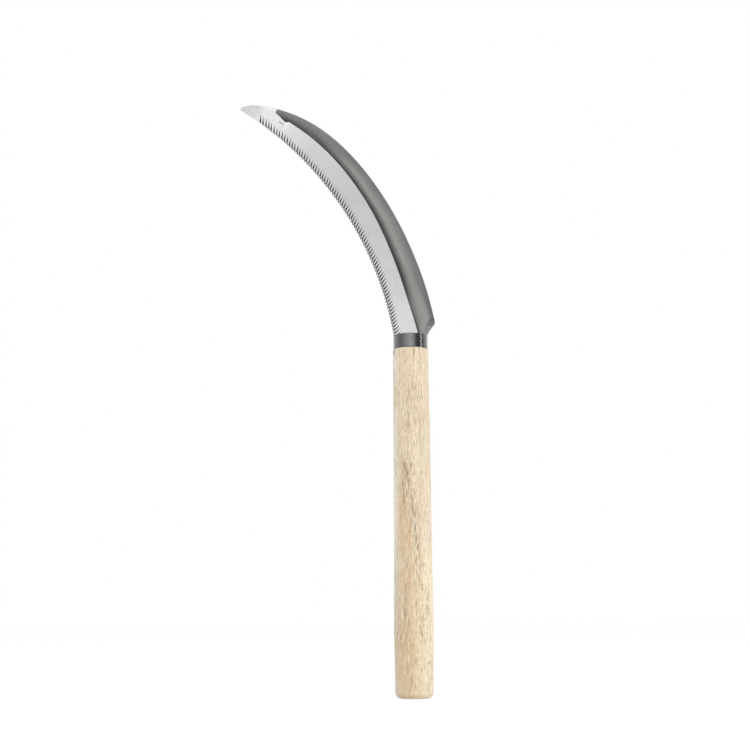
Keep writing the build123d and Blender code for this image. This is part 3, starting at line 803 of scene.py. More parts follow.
def build_grooves():
    surf = -(Y_BACK - T_EDGE)
    ridge_a, ridge_w = edge_deg(ridge.xy), edge_in(ridge.xy)
    order = np.argsort(ridge_a)
    v, f = [], []
    for i in range(TOOTH_N):
        deg = TOOTH_A0 + (TOOTH_PITCH + TOOTH_GROWTH * i) * i + rng.normal(0, 0.006)
        a = math.radians(deg)
        depth = 0.62 * (1 + rng.normal(0, 0.04))
        length = 5.3 * (1 + rng.normal(0, 0.04))
        reach = 1.30 * length
        lean = math.radians(32.0 + rng.normal(0, 0.7))
        slope = (Y_BACK - T_EDGE - Y_FRONT) / float(np.interp(deg + 0.5, ridge_a[order], ridge_w[order]))
        floor = (depth + slope * length) / (length + 0.15)
        rise = depth + 0.06
        ex = np.array([math.cos(a), math.sin(a)]); ey = np.array([-math.sin(a), math.cos(a)])
        o = EDGE_C + EDGE_R * ex
        base = len(v)
        for (lx, ly, lz) in ((-0.15, 0.0, surf - depth), (-0.15, -2.40 * min(rise, 0.70), surf + 0.06),
                             (-0.15, 1.00 * min(rise, 0.70), surf + 0.06),
                             (reach, reach * math.tan(lean), surf - depth + floor * (reach + 0.15))):
            q = o + ex * lx + ey * ly
            v.append((q[0], -lz, q[1]))
        f += [(base, base + 1, base + 2), (base, base + 3, base + 1), (base + 1, base + 3, base + 2), (base + 2, base + 3, base)]
    me = make_mesh("groove_mesh", v, f, [M_GROOVE, M_STEEP], [0, 0, 0, 1] * TOOTH_N)
    fix_normals(me)
    return link("groove_tmp", me)


def signed_band(p):
    """Signed distance (mm) to the dark band's border in the plan view, positive inside."""
    R = ridge.xy
    end = np.array(BAND_END)
    j = int(np.argmin(np.hypot(*(R - end[-1]).T)))
    line = np.vstack([R[:j:6], end[::-1]])
    a, b = line[:-1], line[1:]
    d = b - a
    L2 = (d ** 2).sum(1)
    poly = np.vstack([line, [(end[0][0], 440.0), (60.0, 440.0), (60.0, 225.0)]])
    out = np.zeros(len(p))
    for i0 in range(0, len(p), 4000):
        q = p[i0:i0 + 4000]
        w = np.clip(((q[:, None, :] - a[None]) * d[None]).sum(2) / L2[None], 0, 1)
        c = a[None] + w[..., None] * d[None]
        near = np.hypot(*(q[:, None, :] - c).transpose(2, 0, 1)).min(1)
        x, y = q[:, 0], q[:, 1]
        inside = np.zeros(len(q), bool)
        for (x1, y1), (x2, y2) in zip(poly, np.roll(poly, -1, 0)):
            if y1 != y2:
                hit = ((y1 > y) != (y2 > y)) & (x < (x2 - x1) * (y - y1) / (y2 - y1) + x1)
                inside ^= hit
        out[i0:i0 + 4000] = np.where(inside, near, -near)
    return out


def blade_attributes(me, lines):
    se, E, P, tr = lines
    co = coords(me)
    p = co[:, [0, 2]]
    s = np.radians(edge_deg(p) - A_HEEL) * EDGE_R
    d = edge_in(p)
    # share across the blade, from the local cross line
    i = np.clip(np.interp(s, se, np.arange(len(se))), 0, len(se) - 1)
    w = np.hypot(*(P - E).T)
    wi = np.interp(i, np.arange(len(se)), w)
    t = np.clip(d / wi, 0, 1)
    tri = np.interp(i, np.arange(len(se)), np.minimum(tr, 1))
    f = np.clip((t - tri) / np.maximum(1 - tri, 0.05), 0, 1)
    set_attr(me, "a_s", s); set_attr(me, "a_d", d); set_attr(me, "a_t", t)
    band = signed_band(p)
    band[co[:, 2] < TENON_Z - 0.2] = 2.0            # the tang keeps its dark scale
    ri = np.interp(i, np.arange(len(se)), tr)
    depth = co[:, 1] - (Y_BACK - (T_EDGE + (Y_BACK - T_EDGE - Y_FRONT) * d / np.maximum(wi * ri, 1.0)))
    share = np.clip(depth / np.maximum(0.62 * (1 - d / 5.9), 0.03), 0, 1)
    set_attr(me, "a_f", f); set_attr(me, "a_band", band); set_attr(me, "a_share", share)
    h = np.vstack([heel.xy[::200], [HEEL[0], HEEL[1], SPINE[-1]]])
    a, b = h[:-1], h[1:]
    away = np.full(len(p), 1e9)
    for a_, b_ in zip(a, b):
        w_ = np.clip(((p - a_) * (b_ - a_)).sum(1) / max(((b_ - a_) ** 2).sum(), 1e-9), 0, 1)
        away = np.minimum(away, np.hypot(*(p - a_ - w_[:, None] * (b_ - a_)).T))
    near = np.exp(-(away / 3.3) ** 4) * (co[:, 2] > TENON_Z - 0.2)
    run = spine.xy[-1] - spine.xy[-60]
    run = run / np.hypot(*run)
    rel = p - np.array(HEEL[0])
    rim = np.exp(-(np.abs(rel[:, 0] * run[1] - rel[:, 1] * run[0]) / 3.4) ** 4)
    set_attr(me, "a_heel_painted_shade", near * rim)              # painted shade: a dark strip that runs on straight past the shoulder
    set_attr(me, "a_cut_painted_tone", near * (1 - rim))         # the rest of the cut gets a painted mid tone that evens out its reflections


blade, lines = build_blade()
blade_bm = bmesh.new(); blade_bm.from_mesh(blade.data)
blade_tree = BVHTree.FromBMesh(blade_bm)
blade_bm.free()
boolean(blade, build_tang(), "UNION")
boolean(blade, build_grooves(), "DIFFERENCE")
print("blade open edges after booleans:", tidy(blade.data, 2e-7), "faces", len(blade.data.polygons), [m.name for m in blade.data.materials])
ridge_xy = ridge.xy


def ridge_edge(e, a):
    f1, f2 = e.link_faces
    if f1.material_index != f2.material_index:
        return a > math.radians(4)
    if f1.material_index in (1, 3):
        return a > math.radians(8)
    if a < math.radians(3.5):
        return False
    mid = (e.verts[0].co + e.verts[1].co) / 2 / MM
    return mid.y < -0.9 and np.min(np.hypot(ridge_xy[:, 0] - mid.x, ridge_xy[:, 1] - mid.z)) < 0.15


shade(blade.data, 32.0, ridge_edge)
blade_attributes(blade.data, lines)
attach(blade, "sickle"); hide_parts("blade")


# ------------------------------------------------------------------ handle
def build_handle():
    prof = Curve([(r, z) for z, r in HANDLE])
    pts = [(0.0, 0.0)] + [(r, 0.0) for r in np.linspace(1.0, 8.9, 12)]
    # rounded edge, chamfer, and its soft run into the side
    for r, z in ((9.3, 0.01), (9.62, 0.05), (9.95, 0.14), (10.24, 0.29), (10.5, 0.5), (10.78, 0.78), (11.05, 1.05), (11.33, 1.33),
                 (11.6, 1.6), (11.82, 1.86), (12.02, 2.16), (12.2, 2.5), (12.34, 2.9), (12.44, 3.35), (12.50, 3.9)):
        pts.append((r, z))
    zs = np.r_[np.arange(4.6, SHOULDER_Z - 2.7, 1.15), np.linspace(SHOULDER_Z - 2.5, SHOULDER_Z - 0.4, 6)]
    rr = np.interp(zs, prof.xy[:, 1], prof.xy[:, 0])
    pts += list(zip(rr, zs))
    pts += [(11.82, SHOULDER_Z - 0.1), (11.66, SHOULDER_Z), (11.3, SHOULDER_Z), (10.5, SHOULDER_Z), (10.5, SHOULDER_Z + 3.3),
            (10.5, TENON_Z - 0.9), (10.3, TENON_Z - 0.3), (9.9, TENON_Z), (5.0, TENON_Z), (0.0, TENON_Z)]
    pts = np.array(pts)
    na = 224
    th = np.arange(na) / na * 2 * np.pi
    v = [(0, 0, 0)]
    ring = pts[1:-1]
    hand = rng.normal(0, 1, (6, 4))
    for r, z in ring:
        # a turned and sanded stick is never quite round or straight
        wob = 0.0
        amp = np.clip(z / 10, 0, 1) * np.clip((227 - z) / 10, 0, 1)
        for k in range(4):
            wob = wob + 0.030 * np.sin(th * (k + 1) + z * (0.012 + 0.021 * k) + hand[0, k] * 3) / (k + 1)
        rr_ = r + amp * wob
        bow = amp * 0.18 * math.sin(math.pi * min(max(z / 215, 0), 1))
        for a, q in zip(th, rr_):
            v.append((q * math.cos(a) + bow, q * math.sin(a), z))
    v.append((0, 0, TENON_Z))
    f = []
    nr = len(ring)
    for j in range(na):
        f.append((0, 1 + (j + 1) % na, 1 + j))
        f.append((len(v) - 1, 1 + (nr - 1) * na + j, 1 + (nr - 1) * na + (j + 1) % na))
    for i in range(nr - 1):
        for j in range(na):
            a, b = 1 + i * na + j, 1 + i * na + (j + 1) % na
            f.append((a, b, b + na, a + na))
    me = make_mesh("handle_mesh", v, f, [M_WOOD, M_KERF])
    fix_normals(me)
    return link("wooden_handle", me)


def kerf_cutter():
    """Saw kerf with slightly uneven walls and a rounded floor."""
    nx, nz = 60, 40
    v, f = [], []
    xs = np.linspace(-15, 15, nx); zs = np.linspace(KERF_Z, 242, nz)
    for side in (-1, 1):
        for z in zs:
            for x in xs:
                w = KERF_W / 2 + 0.03 * math.sin(z * 2.1 + side) * math.sin(x * 0.7) - 0.25 * max(0, 1 - (z - KERF_Z) / 0.5)
                v.append((x, side * w, z))
    f += grid_faces(nz, nx, 0) + grid_faces(nz, nx, nx * nz, flip=True)
    o = nx * nz
    for i in range(nz - 1):
        for c in (0, nx - 1):
            f.append((i * nx + c, (i + 1) * nx + c, o + (i + 1) * nx + c, o + i * nx + c))
    for j in range(nx - 1):
        for r in (0, nz - 1):
            f.append((r * nx + j, r * nx + j + 1, o + r * nx + j + 1, o + r * nx + j))
    me = make_mesh("kerf_mesh", v, f, [M_KERF])
    fix_normals(me)
    return link("kerf_tmp", me)


def seat_cutter():
    """Seat and hole of the nail, from the reverse side."""
    prof = [(0.0, 20.0), (PIN_HEAD_R + 0.06, 20.0), (PIN_HEAD_R + 0.06, PIN_Y - 0.92), (PIN_R + 0.02, PIN_Y - 0.92), (PIN_R + 0.02, -8.0), (0.0, -8.3)]
    n = 48
    v = [(0, prof[0][1], PIN_Z)]
    for r, y in prof[1:-1]:
        for j in range(n):
            a = 2 * math.pi * j / n
            v.append((r * math.cos(a), y, PIN_Z + r * math.sin(a)))
    v.append((0, prof[-1][1], PIN_Z))
    f = []
    k = len(prof) - 2
    for j in range(n):
        f.append((0, 1 + j, 1 + (j + 1) % n))
        f.append((len(v) - 1, 1 + (k - 1) * n + (j + 1) % n, 1 + (k - 1) * n + j))
        for i in range(k - 1):
            a, b = 1 + i * n + j, 1 + i * n + (j + 1) % n
            f.append((a, a + n, b + n, b))
    me = make_mesh("seat_mesh", v, f, [M_KERF])
    fix_normals(me)
    return link("seat_tmp", me)


handle = build_handle()
boolean(handle, kerf_cutter(), "DIFFERENCE")
boolean(handle, seat_cutter(), "DIFFERENCE")
print("handle open edges:", tidy(handle.data, 2e-7), "faces", len(handle.data.polygons))
shade(handle.data, 28.0, lambda e, a: e.link_faces[0].material_index != e.link_faces[1].material_index)


def wood_attributes(me):
    co = coords(me)
    x, y, z = co.T
    ang = np.degrees(np.arctan2(x, -y))          # 0 faces -Y, positive towards +X
    r = np.hypot(x, y)
    arc = np.radians(ang) * 12.2                 # mm round the front
    stain = np.zeros(len(co)); fleck_and_gap_shade = np.zeros(len(co)); dense = np.zeros(len(co)); left_painted_shade = np.zeros(len(co))
    z = z - 0.55

    def blob(target, a0, z0, wa, wz, k, lean=0.0, sharp=2.4):
        u = (arc - a0 - lean * (z - z0)) / wa
        w = (z - z0) / wz
        g = k * np.exp(-(np.abs(u) ** sharp) - (np.abs(w) ** 2.6))
        np.maximum(target, g, out=target)

    # broad darker areas (mm round the front from its middle line, height, half width, half height)
    for a0, z0, wa, wz, k in ((-6.2, 112, 4.9, 23, 1.0), (-5.2, 80, 5.0, 20, .66), (-7.0, 30, 7.4, 32, .86), (-3.4, 60, 3.8, 18, .60), (-3.2, 100, 2.8, 16, 1.0),
                              (-4.5, 146, 3.4, 10, .50), (-3.5, 12, 4.6, 14, .72), (4.4, 108, 3.0, 22, .10), (2.6, 205, 3.6, 14, .20),
                              (-4.0, 205, 3.6, 16, .34), (-3.0, 170, 4.0, 14, .22), (-3.4, 72, 2.3, 19, 1.0), (-9.2, 72, 2.2, 18, .50),
                              (0.6, 70, 2.6, 18, .38), (-1.5, 29, 2.4, 27, .95), (-9.0, 104, 2.6, 20, .70), (-2.4, 176, 1.6, 8, .5), (-9.2, 168, 2.2, 12, .25)):
        blob(stain, a0, z0, wa, wz, k, 0.0, 3.4)
    for a0, z0, wa, wz, k in ((-4.6, 144, 3.2, 15, .85), (-1.0, 150, 3.0, 14, .6), (-0.4, 122, 2.2, 14, 1.05), (4.4, 113, 2.2, 11, .75), (1.4, 104, 2.0, 10, .8),
                              (9.4, 62, 2.4, 12, .7), (3.0, 84, 3.4, 12, .5), (-2.0, 186, 5.0, 22, .35), (-6.0, 50, 3.0, 20, .3), (5.0, 44, 2.5, 10, .5)):
        blob(dense, a0, z0, wa, wz, k)
    # painted shade down the left side of the handle
    left_painted_shade[:] = np.clip((-arc - 8.6) / 4.0, 0, 1) * (arc > -24)
    warm = np.clip((130 - z) / 80, 0, 1) * np.clip((arc + 3.5) / 4.0, 0, 1) * np.clip((10.5 - arc) / 4, 0, 1)
    # painted light on the right side, fading upwards
    right_painted_light = np.clip((160 - z) / 90, 0, 1) * np.clip((arc - 4.5) / 3.5, 0, 1) * np.clip((24 - arc) / 6, 0, 1)
    for i in range(9):                           # the same kind of areas round the far side
        blob(stain, rng.uniform(14, 37) * rng.choice([-1, 1]), rng.uniform(10, 215), rng.uniform(2.5, 4.5), rng.uniform(9, 20), rng.uniform(.4, .9))
    # single dark marks
    for a0, z0, wa, wz, k, lean in ((1.75, 225.2, .42, 4.4, .95, 0), (-5.0, 150, .45, 3.6, .8, .02), (-4.4, 147, .4, 2.6, .7, 0), (-3.3, 143.5, .45, 2.2, .95, .05),
                                    (-6.6, 137, .5, 3.6, .95, -.02), (-2.5, 139, .4, 3.2, .85, -.08), (-0.8, 149, .45, 2.4, .6, .1), (-6.0, 128, .5, 4.8, .8, 0.03),
                                    (-4.0, 131, .45, 2.0, .7, 0), (-0.9, 129.5, .5, 3.4, .6, 0), (-0.2, 122, .5, 2.6, .9, .05), (1.3, 117, .4, 2.2, .85, 0),
                                    (2.6, 119.6, .35, 2.0, .8, 0), (1.2, 109, .5, 3.0, .8, .03), (2.0, 101, .45, 3.6, .75, .05), (2.9, 96, .5, 2.2, .9, .1),
                                    (3.8, 92, .35, 2.4, .6, 0), (6.8, 84.5, .6, 1.1, .8, .2), (1.4, 60, .5, 2.0, .7, 0), (5.6, 58.5, .6, .9, .6, 0),
                                    (-3.1, 47, .4, 2.8, .75, -.03), (4.8, 41, .35, 2.0, .7, 0), (6.6, 36, .4, 1.4, .7, 0), (-5.0, 68, .4, 5, .6, -.02),
                                    (0.6, 205, .4, 4.0, .5, 0), (2.9, 198, .35, 4.5, .5, 0), (-2.2, 186, .35, 5.0, .45, 0), (2.6, 178, .4, 4.2, .55, 0),
                                    (-1.9, 11, .45, 4.0, .7, 0), (-4.2, 18, .4, 3.0, .6, .03), (1.0, 24, .4, 3.4, .5, 0)):
        blob(fleck_and_gap_shade, a0, z0, wa, wz, k, lean)
    for i in range(46):
        blob(fleck_and_gap_shade, rng.uniform(11, 38) * rng.choice([-1, 1]), rng.uniform(6, 222), rng.uniform(.35, .55), rng.uniform(1.8, 4.6), rng.uniform(.4, .95), rng.normal(0, .03))
    # painted shadow of the kerf gap at the left, just under the ferrule
    blob(fleck_and_gap_shade, -16.6, 226.7, 2.2, 1.9, 1.0)
    set_attr(me, "a_stain", stain); set_attr(me, "a_fleck_and_gap_shade", fleck_and_gap_shade); set_attr(me, "a_dense", dense); set_attr(me, "a_left_painted_shade", left_painted_shade)
    set_attr(me, "a_warm", warm); set_attr(me, "a_right_painted_light", right_painted_light)
    set_attr(me, "a_end", np.clip((9.6 - r) / 1.2, 0, 1) * (z < 1.0))


wood_attributes(handle.data)
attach(handle, "sickle"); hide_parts("handle")


# ------------------------------------------------------------------ ferrule
def build_ferrule():
    z0, z1, ro, ri = SHOULDER_Z, FER_TOP, FER_R, TENON_R
    rc = 0.30
    loop = []                                    # (r, z) round the section
    for a in np.linspace(0, 90, 6):
        loop.append((ro - rc + rc * math.sin(math.radians(a)), z1 - rc + rc * math.cos(math.radians(a))))
    for z in np.linspace(z1 - 0.6, z0 + 0.6, 26):
        h = (z - z0) / (z1 - z0)
        loop.append((ro - 0.05 * (2 * h - 1) ** 4, z))
    for a in np.linspace(0, 90, 6):
        loop.append((ro - rc + rc * math.cos(math.radians(a)), z0 + rc - rc * math.sin(math.radians(a))))
    loop += [(ri + 0.12, z0 + 0.0), (ri, z0 + 0.12)]
    loop += [(ri, z) for z in np.linspace(z0 + 1, z1 - 1, 6)]
    loop += [(ri, z1 - 0.12), (ri + 0.12, z1)]
    loop = np.array(loop)
    n = len(loop)
    seam = math.radians(SEAM_DEG)
    NA = 190
    v = []
    fr = np.r_[0, np.geomspace(0.0004, 0.02, 7), np.linspace(0.02, 0.98, NA)[1:-1], 1 - np.geomspace(0.02, 0.0004, 7), 1]
    zz = loop[:, 1]
    rag = [0.10 * np.sin(zz * 1.9 + 0.4) + 0.06 * np.sin(zz * 4.7 + 1.0), 0.09 * np.sin(zz * 1.5 + 2.2) + 0.07 * np.sin(zz * 5.3)]
    e_attr, s_attr, seam_shade_attr = [], [], []
    for t in fr:
        near = min(t, 1 - t) * 2 * math.pi * ro     # mm from the seam
        side = 0 if t < 0.5 else 1
        for k in range(n):
            r, z = loop[k]
            g = (SEAM_GAP / 2 + rag[side][k] * 0.8) / ro
            g = max(g, 0.012 / ro)
            a = seam + (g if side == 0 else -g) * math.exp(-near / 1.2) + (t * 2 * math.pi)
            soft = 0.16 * math.exp(-near / 0.10)      # rounded lip
            lift = 0.10 * math.exp(-((near - 0.5) / 0.55) ** 2)
            outer = r > (ro + ri) / 2
            q = r + (lift - soft if outer else 0.0)
            q = min(q, ro + 0.12)
            v.append((q * math.sin(a), -q * math.cos(a), z))
            rim = max(0, 1 - min(z1 - z, z - z0) / 0.75)
            e_attr.append(rim)
            wv = 0.22 * math.sin(z * 1.7 + 0.6) + 0.12 * math.sin(z * 4.1)
            lip = math.exp(-((near - 1.00 - wv) / 0.52) ** 2)          # bright line along the lip on the lapping side
            lip2 = 0.35 * math.exp(-((near - 0.35) / 0.22) ** 2)
            s_attr.append((lip if side else lip2) if outer else 0)
            # painted shade in and beside the seam's gap
            seam_shade_attr.append(math.exp(-(near / (0.42 if side else 0.95)) ** 4) if outer else 1)
    f = grid_faces(len(fr), n, 0, wrap_v=True)
    f.append(list(range(n))[::-1]); f.append([(len(fr) - 1) * n + k for k in range(n)])
    me = make_mesh("ferrule_mesh", v, f, [M_FERRULE])
    set_attr(me, "a_edge", e_attr); set_attr(me, "a_seam", s_attr); set_attr(me, "a_seam_painted_shade", seam_shade_attr)
    fix_normals(me)
    shade(me, 40)
    return link("steel_ferrule", me)


ferrule = build_ferrule()
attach(ferrule, "sickle"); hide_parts("ferrule")


# ------------------------------------------------------------------ nail through the tang
def build_nail():
    prof = [(0.0, PIN_Y + 0.02), (0.6, PIN_Y + 0.02), (1.3, PIN_Y), (1.9, PIN_Y - 0.05), (2.35, PIN_Y - 0.14), (2.6, PIN_Y - 0.28), (PIN_HEAD_R, PIN_Y - 0.5),
            (2.64, PIN_Y - 0.75), (2.4, PIN_Y - 0.86), (1.7, PIN_Y - 0.9), (PIN_R, PIN_Y - 1.2)]
    prof += [(PIN_R + 0.02 * math.sin(k), y) for k, y in enumerate(np.linspace(PIN_Y - 2.0, -5.4, 24))]
    prof += [(PIN_R, -5.6), (0.75, -6.9), (0.3, -7.8), (0.0, -7.95)]
    n = 56
    v = [(0, prof[0][1], PIN_Z)]
    for k, (r, y) in enumerate(prof[1:-1]):
        for j in range(n):
            a = 2 * math.pi * j / n
            dent = 0.0
            if k < 5:                       # hammered face
                dent = 0.035 * math.sin(3 * a + 1.0 + k) + 0.02 * math.sin(5 * a)
            v.append((r * math.cos(a), y - abs(dent), PIN_Z + r * math.sin(a)))
    v.append((0, prof[-1][1], PIN_Z))
    f = []
    k = len(prof) - 2
    for j in range(n):
        f.append((0, 1 + j, 1 + (j + 1) % n))
        f.append((len(v) - 1, 1 + (k - 1) * n + (j + 1) % n, 1 + (k - 1) * n + j))
        for i in range(k - 1):
            a, b = 1 + i * n + j, 1 + i * n + (j + 1) % n
            f.append((a, a + n, b + n, b))
    me = make_mesh("nail_mesh", v, f, [M_NAIL])
    fix_normals(me)
    shade(me, 40)
    return link("tang_nail", me)


nail = build_nail()
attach(nail, "sickle"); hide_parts("tang_pin")


# ------------------------------------------------------------------ clear guard over the point
def build_guard():
    Lsp = spine.length
    na, nw = 54, 40

    def shell(off, gap, rc, seed_amp):
        """Closed loops from the nose to the mouth. off: plan offset, gap: off the blade's faces, not used here."""
        # mouth curve from the edge side to the back side
        mo = edge_pt(GUARD_ANGLE, -off)
        u = GUARD_U * Lsp
        t = (spine.at_s(u + 0.1) - spine.at_s(u - 0.1))[0]; t = t / np.hypot(*t)
        ps = spine.at_s(u)[0] + np.array([-t[1], t[0]]) * off
        mouth = Curve([mo, *GUARD_MOUTH, ps])
        rows = []
        for i in range(na + 1):
            g = i / na
            gg = g ** 0.85
            # edge-side and back-side ends of this cross line
            a = A_TIP + (GUARD_ANGLE - A_TIP) * gg
            lo = edge_pt(a, -off)
            s = GUARD_U * Lsp * gg
            q = spine.at_s(s)[0]
            tt = (spine.at_s(min(s + 0.3, Lsp)) - spine.at_s(max(s - 0.3, 0)))[0]; tt = tt / np.hypot(*tt)
            hi = q + np.array([-tt[1], tt[0]]) * off
            line = lo[None] + (hi - lo)[None] * np.linspace(0, 1, nw + 1)[:, None]
            # bend the line towards the mouth's shape
            mline = mouth.at_s(np.linspace(0, mouth.length, nw + 1))
            straight = mo[None] + (ps - mo)[None] * np.linspace(0, 1, nw + 1)[:, None]
            line = line + (mline - straight) * gg ** 3
            if i == 0:                           # round nose
                w = np.linspace(0, 1, nw + 1)
                line = line + np.array([-0.55, 0.15])[None] * (4 * w * (1 - w))[:, None]
            rows.append(line)
        return np.array(rows)

    def front_y(line):
        """The blade's front height under a cross line; its ends lie just outside the outline."""
        out = np.full(len(line), np.nan)
        for j, q in enumerate(line):
            hit = blade_tree.ray_cast(Vector((q[0] * MM, -0.01, q[1] * MM)), Vector((0, 1, 0)), 0.05)
            if hit[0] is not None and hit[0].y / MM < 0.75:
                out[j] = hit[0].y / MM
        ok = np.where(~np.isnan(out))[0]
        if len(ok) == 0:
            near = blade_tree.find_nearest(Vector((line[len(line) // 2][0] * MM, 0, line[len(line) // 2][1] * MM)))
            return np.full(len(line), min(near[0].y / MM, 0.4))
        return np.interp(np.arange(len(line)), ok, out[ok])

    verts, faces, rim = [], [], []
    per = 2 * nw                                  # points in one closed loop
    for which, (off, gap, rc) in enumerate(((0.42, 0.40, 0.55), (0.12, 0.10, 0.14))):
        R = shell(off, gap, rc, 0)
        for i in range(na + 1):
            L = R[i]
            yf = front_y(L) - gap
            yf = np.convolve(np.r_[yf[0], yf[0], yf, yf[-1], yf[-1]], np.ones(5) / 5, "valid") if which == 0 else yf
            yb = np.full(nw + 1, Y_BACK + gap)
            w = np.r_[0, np.cumsum(np.hypot(*np.diff(L, axis=0).T))]
            e = np.minimum(w, w[-1] - w)
            nose = np.clip(i / na * 36.0 / rc, 0, 1) if rc > 0 else 1
            k = np.sqrt(np.clip(1 - (1 - np.clip(e / rc, 0, 1)) ** 2, 0, 1))
            k = np.minimum(k, math.sqrt(max(1 - (1 - min(nose, 1)) ** 2, 0.0)) if i < 3 else 1.0)
            mid = (yf + yb) / 2
            if which == 0:                        # soft ripples of the plastic
                sx, sz = L[:, 0], L[:, 1]
                rip = 0.045 * np.sin(sx * 0.55 + sz * 0.35) * np.sin(sx * 0.23 - sz * 0.61 + 1.0) + 0.03 * np.sin(sx * 1.3 + 0.7) * np.sin(sz * 1.1)
                rip2 = 0.04 * np.sin(sx * 0.47 - sz * 0.52 + 2.0)
            else:
                rip = rip2 = 0.0
            f_y = mid + (yf - mid + rip * (e > 0.5)) * k
            b_y = mid + (yb - mid + rip2 * (e > 0.5)) * k
            loop = [(L[j][0], f_y[j], L[j][1]) for j in range(nw + 1)] + [(L[j][0], b_y[j], L[j][1]) for j in range(nw - 1, 0, -1)]
            for c in loop:
                verts.append(c)
                rim.append(math.exp(-((na - i) / 1.6) ** 2))
    for which in (0, 1):
        o = which * (na + 1) * per
        faces += grid_faces(na + 1, per, o, wrap_v=True, flip=bool(which))
        # nose cap: front and back rows joined straight across
        for j in range(1, nw):
            pass
        cap = [o + j for j in range(per)]
        for j in range(0, nw):
            a, b = j, j + 1
            c, d = (per - j) % per, (per - j - 1) % per
            ids = []
            for q in (a, b, d, c):
                if o + q not in ids:
                    ids.append(o + q)
            if len(ids) >= 3:
                faces.append(ids if which == 0 else ids[::-1])
    o1 = (na) * per; o2 = (na + 1) * per + na * per
    for j in range(per):
        faces.append((o1 + j, o1 + (j + 1) % per, o2 + (j + 1) % per, o2 + j))
    n_out = na * per + nw
    mats = [0 if k < na * per else 1 if k < 2 * na * per + nw and k >= na * per + nw else 0 for k in range(len(faces))]
    me = make_mesh("guard_mesh", verts, faces, [M_GUARD, M_GUARD_IN], mats)
    gx = coords(me)
    # painted shade of a small fold in the plastic near the mouth
    a, b = np.array([-89.8, 391.3]), np.array([-87.0, 389.5])
    q = gx[:, [0, 2]] - a
    w = np.clip((q * (b - a)).sum(1) / ((b - a) ** 2).sum(), 0, 1)
    away = np.hypot(*(q - w[:, None] * (b - a)).T)
    set_attr(me, "a_fold_painted_shade", np.exp(-(away / 0.30) ** 2) * (gx[:, 1] < 0.2))
    set_attr(me, "a_rim", rim)
    print("guard open edges:", tidy(me, 2e-7), "faces", len(me.polygons))
    shade(me, 50)
    return link("clear_tip_guard", me)


guard = build_guard()
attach(guard, "guard"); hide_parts("tip_guard")


# ------------------------------------------------------------------ floor, light, camera
def build_floor():
    n = 40
    v, f = [], []
    xs = np.linspace(-40000, 40000, n)
    for a in xs:
        for b in xs:
            v.append((a, b, -0.02))
    f = grid_faces(n, n, 0)
    me = make_mesh("floor_mesh", v, f, [mat_floor()])
    fix_normals(me)
    o = link("studio_floor", me)
    return o


floor = build_floor()

world = bpy.data.worlds.new("studio"); bpy.context.scene.world = world
world.use_nodes = True
wt = world.node_tree; wt.nodes.clear()


def wnode(kind, **kw):
    n = wt.nodes.new(kind)
    for k, v in kw.items():
        setattr(n, k, v)
    return n


tc = wnode("ShaderNodeTexCoord"); sepw = wnode("ShaderNodeSeparateXYZ")
wt.links.new(tc.outputs["Generated"], sepw.inputs[0])
neg = wnode("ShaderNodeMath", operation="MULTIPLY"); neg.inputs[1].default_value = -1.0
wt.links.new(sepw.outputs[1], neg.inputs[0])
at = wnode("ShaderNodeMath", operation="ARCTAN2")
wt.links.new(sepw.outputs[0], at.inputs[0]); wt.links.new(neg.outputs[0], at.inputs[1])
mr = wnode("ShaderNodeMapRange")
wt.links.new(at.outputs[0], mr.inputs["Value"])
mr.inputs["From Min"].default_value = -math.pi; mr.inputs["From Max"].default_value = math.pi
cr = wnode("ShaderNodeValToRGB")
wt.links.new(mr.outputs[0], cr.inputs[0])
# brightness of the studio round the object; 0 degrees is behind the camera, positive to the right
STUDIO = [(-180, 1.0), (-140, 1.05), (-110, 0.85), (-88, 0.55), (-66, 0.50), (-44, 0.85), (-20, 1.0), (0, 1.12), (14, 1.05),
          (27, 0.50), (38, 0.12), (54, 0.05), (80, 0.16), (98, 0.55), (118, 1.05), (145, 1.35), (180, 1.0)]
el = cr.color_ramp.elements
while len(el) < len(STUDIO):
    el.new(0.5)
for e, (b, L) in zip(el, STUDIO):
    e.position = (b + 180) / 360
    e.color = (L / 1.4, L / 1.4, L / 1.4, 1)
bg_env = wnode("ShaderNodeBackground"); bg_env.inputs["Strength"].default_value = 1.4
wt.links.new(cr.outputs[0], bg_env.inputs["Color"])
bg_cam = wnode("ShaderNodeBackground"); bg_cam.inputs["Color"].default_value = (1, 1, 1, 1); bg_cam.inputs["Strength"].default_value = 1.0
lp = wnode("ShaderNodeLightPath")
mixw = wnode("ShaderNodeMixShader")
wt.links.new(lp.outputs["Is Camera Ray"], mixw.inputs[0])
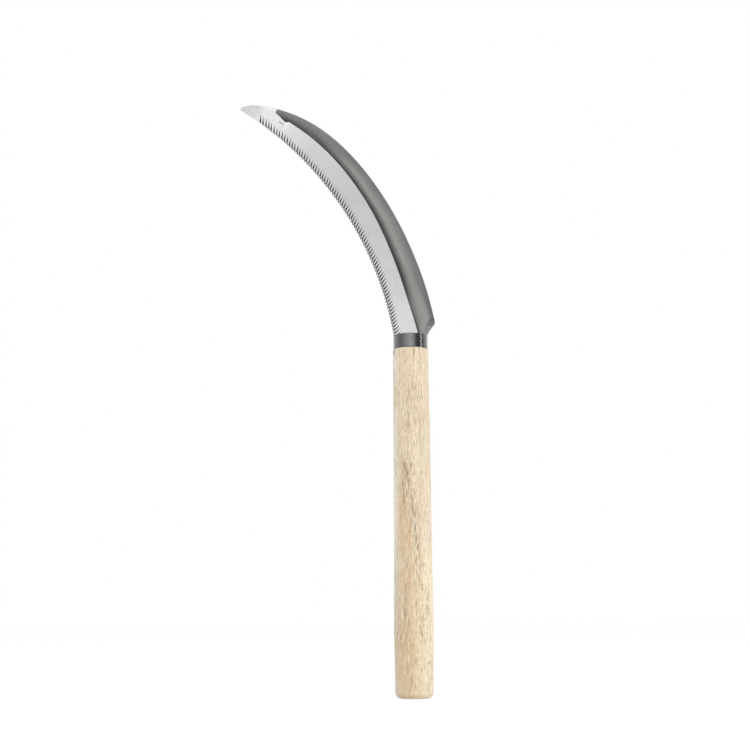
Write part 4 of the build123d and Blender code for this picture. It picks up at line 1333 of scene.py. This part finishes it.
wt.links.new(bg_env.outputs[0], mixw.inputs[1]); wt.links.new(bg_cam.outputs[0], mixw.inputs[2])
wo = wnode("ShaderNodeOutputWorld")
wt.links.new(mixw.outputs[0], wo.inputs["Surface"])


def area(name, loc, target, size, power, glossy=False):
    l = bpy.data.lights.new(name, "AREA")
    l.shape = "RECTANGLE"; l.size, l.size_y = size
    l.energy = power
    o = bpy.data.objects.new(name, l)
    bpy.context.scene.collection.objects.link(o)
    o.location = loc
    o.rotation_mode = "QUATERNION"
    o.rotation_quaternion = (Vector(target) - Vector(loc)).to_track_quat("-Z", "Y")
    o.visible_glossy = glossy
    o.visible_camera = False
    return o


area("key_right", (0.95, -0.75, 0.75), (0, 0, 0.2), (0.9, 0.9), 9.0)
area("fill_left", (-1.1, -0.9, 0.5), (0, 0, 0.2), (1.0, 1.0), 3.0)
area("back_soft", (0.2, 1.3, 0.9), (0, 0, 0.2), (1.0, 1.0), 5.0)

# camera: about 0.9 m away, a little left of the handle, looking up by ten degrees
cam_d = bpy.data.cameras.new("photo_camera")
cam_d.sensor_width = 36.0
cam_d.lens = 1384.0 * 36.0 / 750.0
cam_d.clip_start, cam_d.clip_end = 0.05, 20
cam = bpy.data.objects.new("photo_camera", cam_d)
bpy.context.scene.collection.objects.link(cam)
tilt, roll = math.radians(10.0), math.radians(-0.37)
fwd = Vector((0, math.cos(tilt), math.sin(tilt))); up0 = Vector((0, -math.sin(tilt), math.cos(tilt))); r0 = Vector((1, 0, 0))
rv = r0 * math.cos(roll) + up0 * math.sin(roll)
uv = -r0 * math.sin(roll) + up0 * math.cos(roll)
M = Matrix((rv, uv, -fwd)).transposed().to_4x4()
M.translation = Vector((-0.02418, -0.917, 0.05065))
cam.matrix_world = M
bpy.context.scene.camera = cam

sc = bpy.context.scene
sc.view_settings.view_transform = "Standard"
sc.view_settings.look = "None"
sc.view_settings.exposure = 0.0
sc.view_settings.gamma = 1.0
sc.cycles.transparent_max_bounces = 24
sc.cycles.max_bounces = 10
sc.cycles.sample_clamp_indirect = 6.0

bpy.context.view_layer.update()
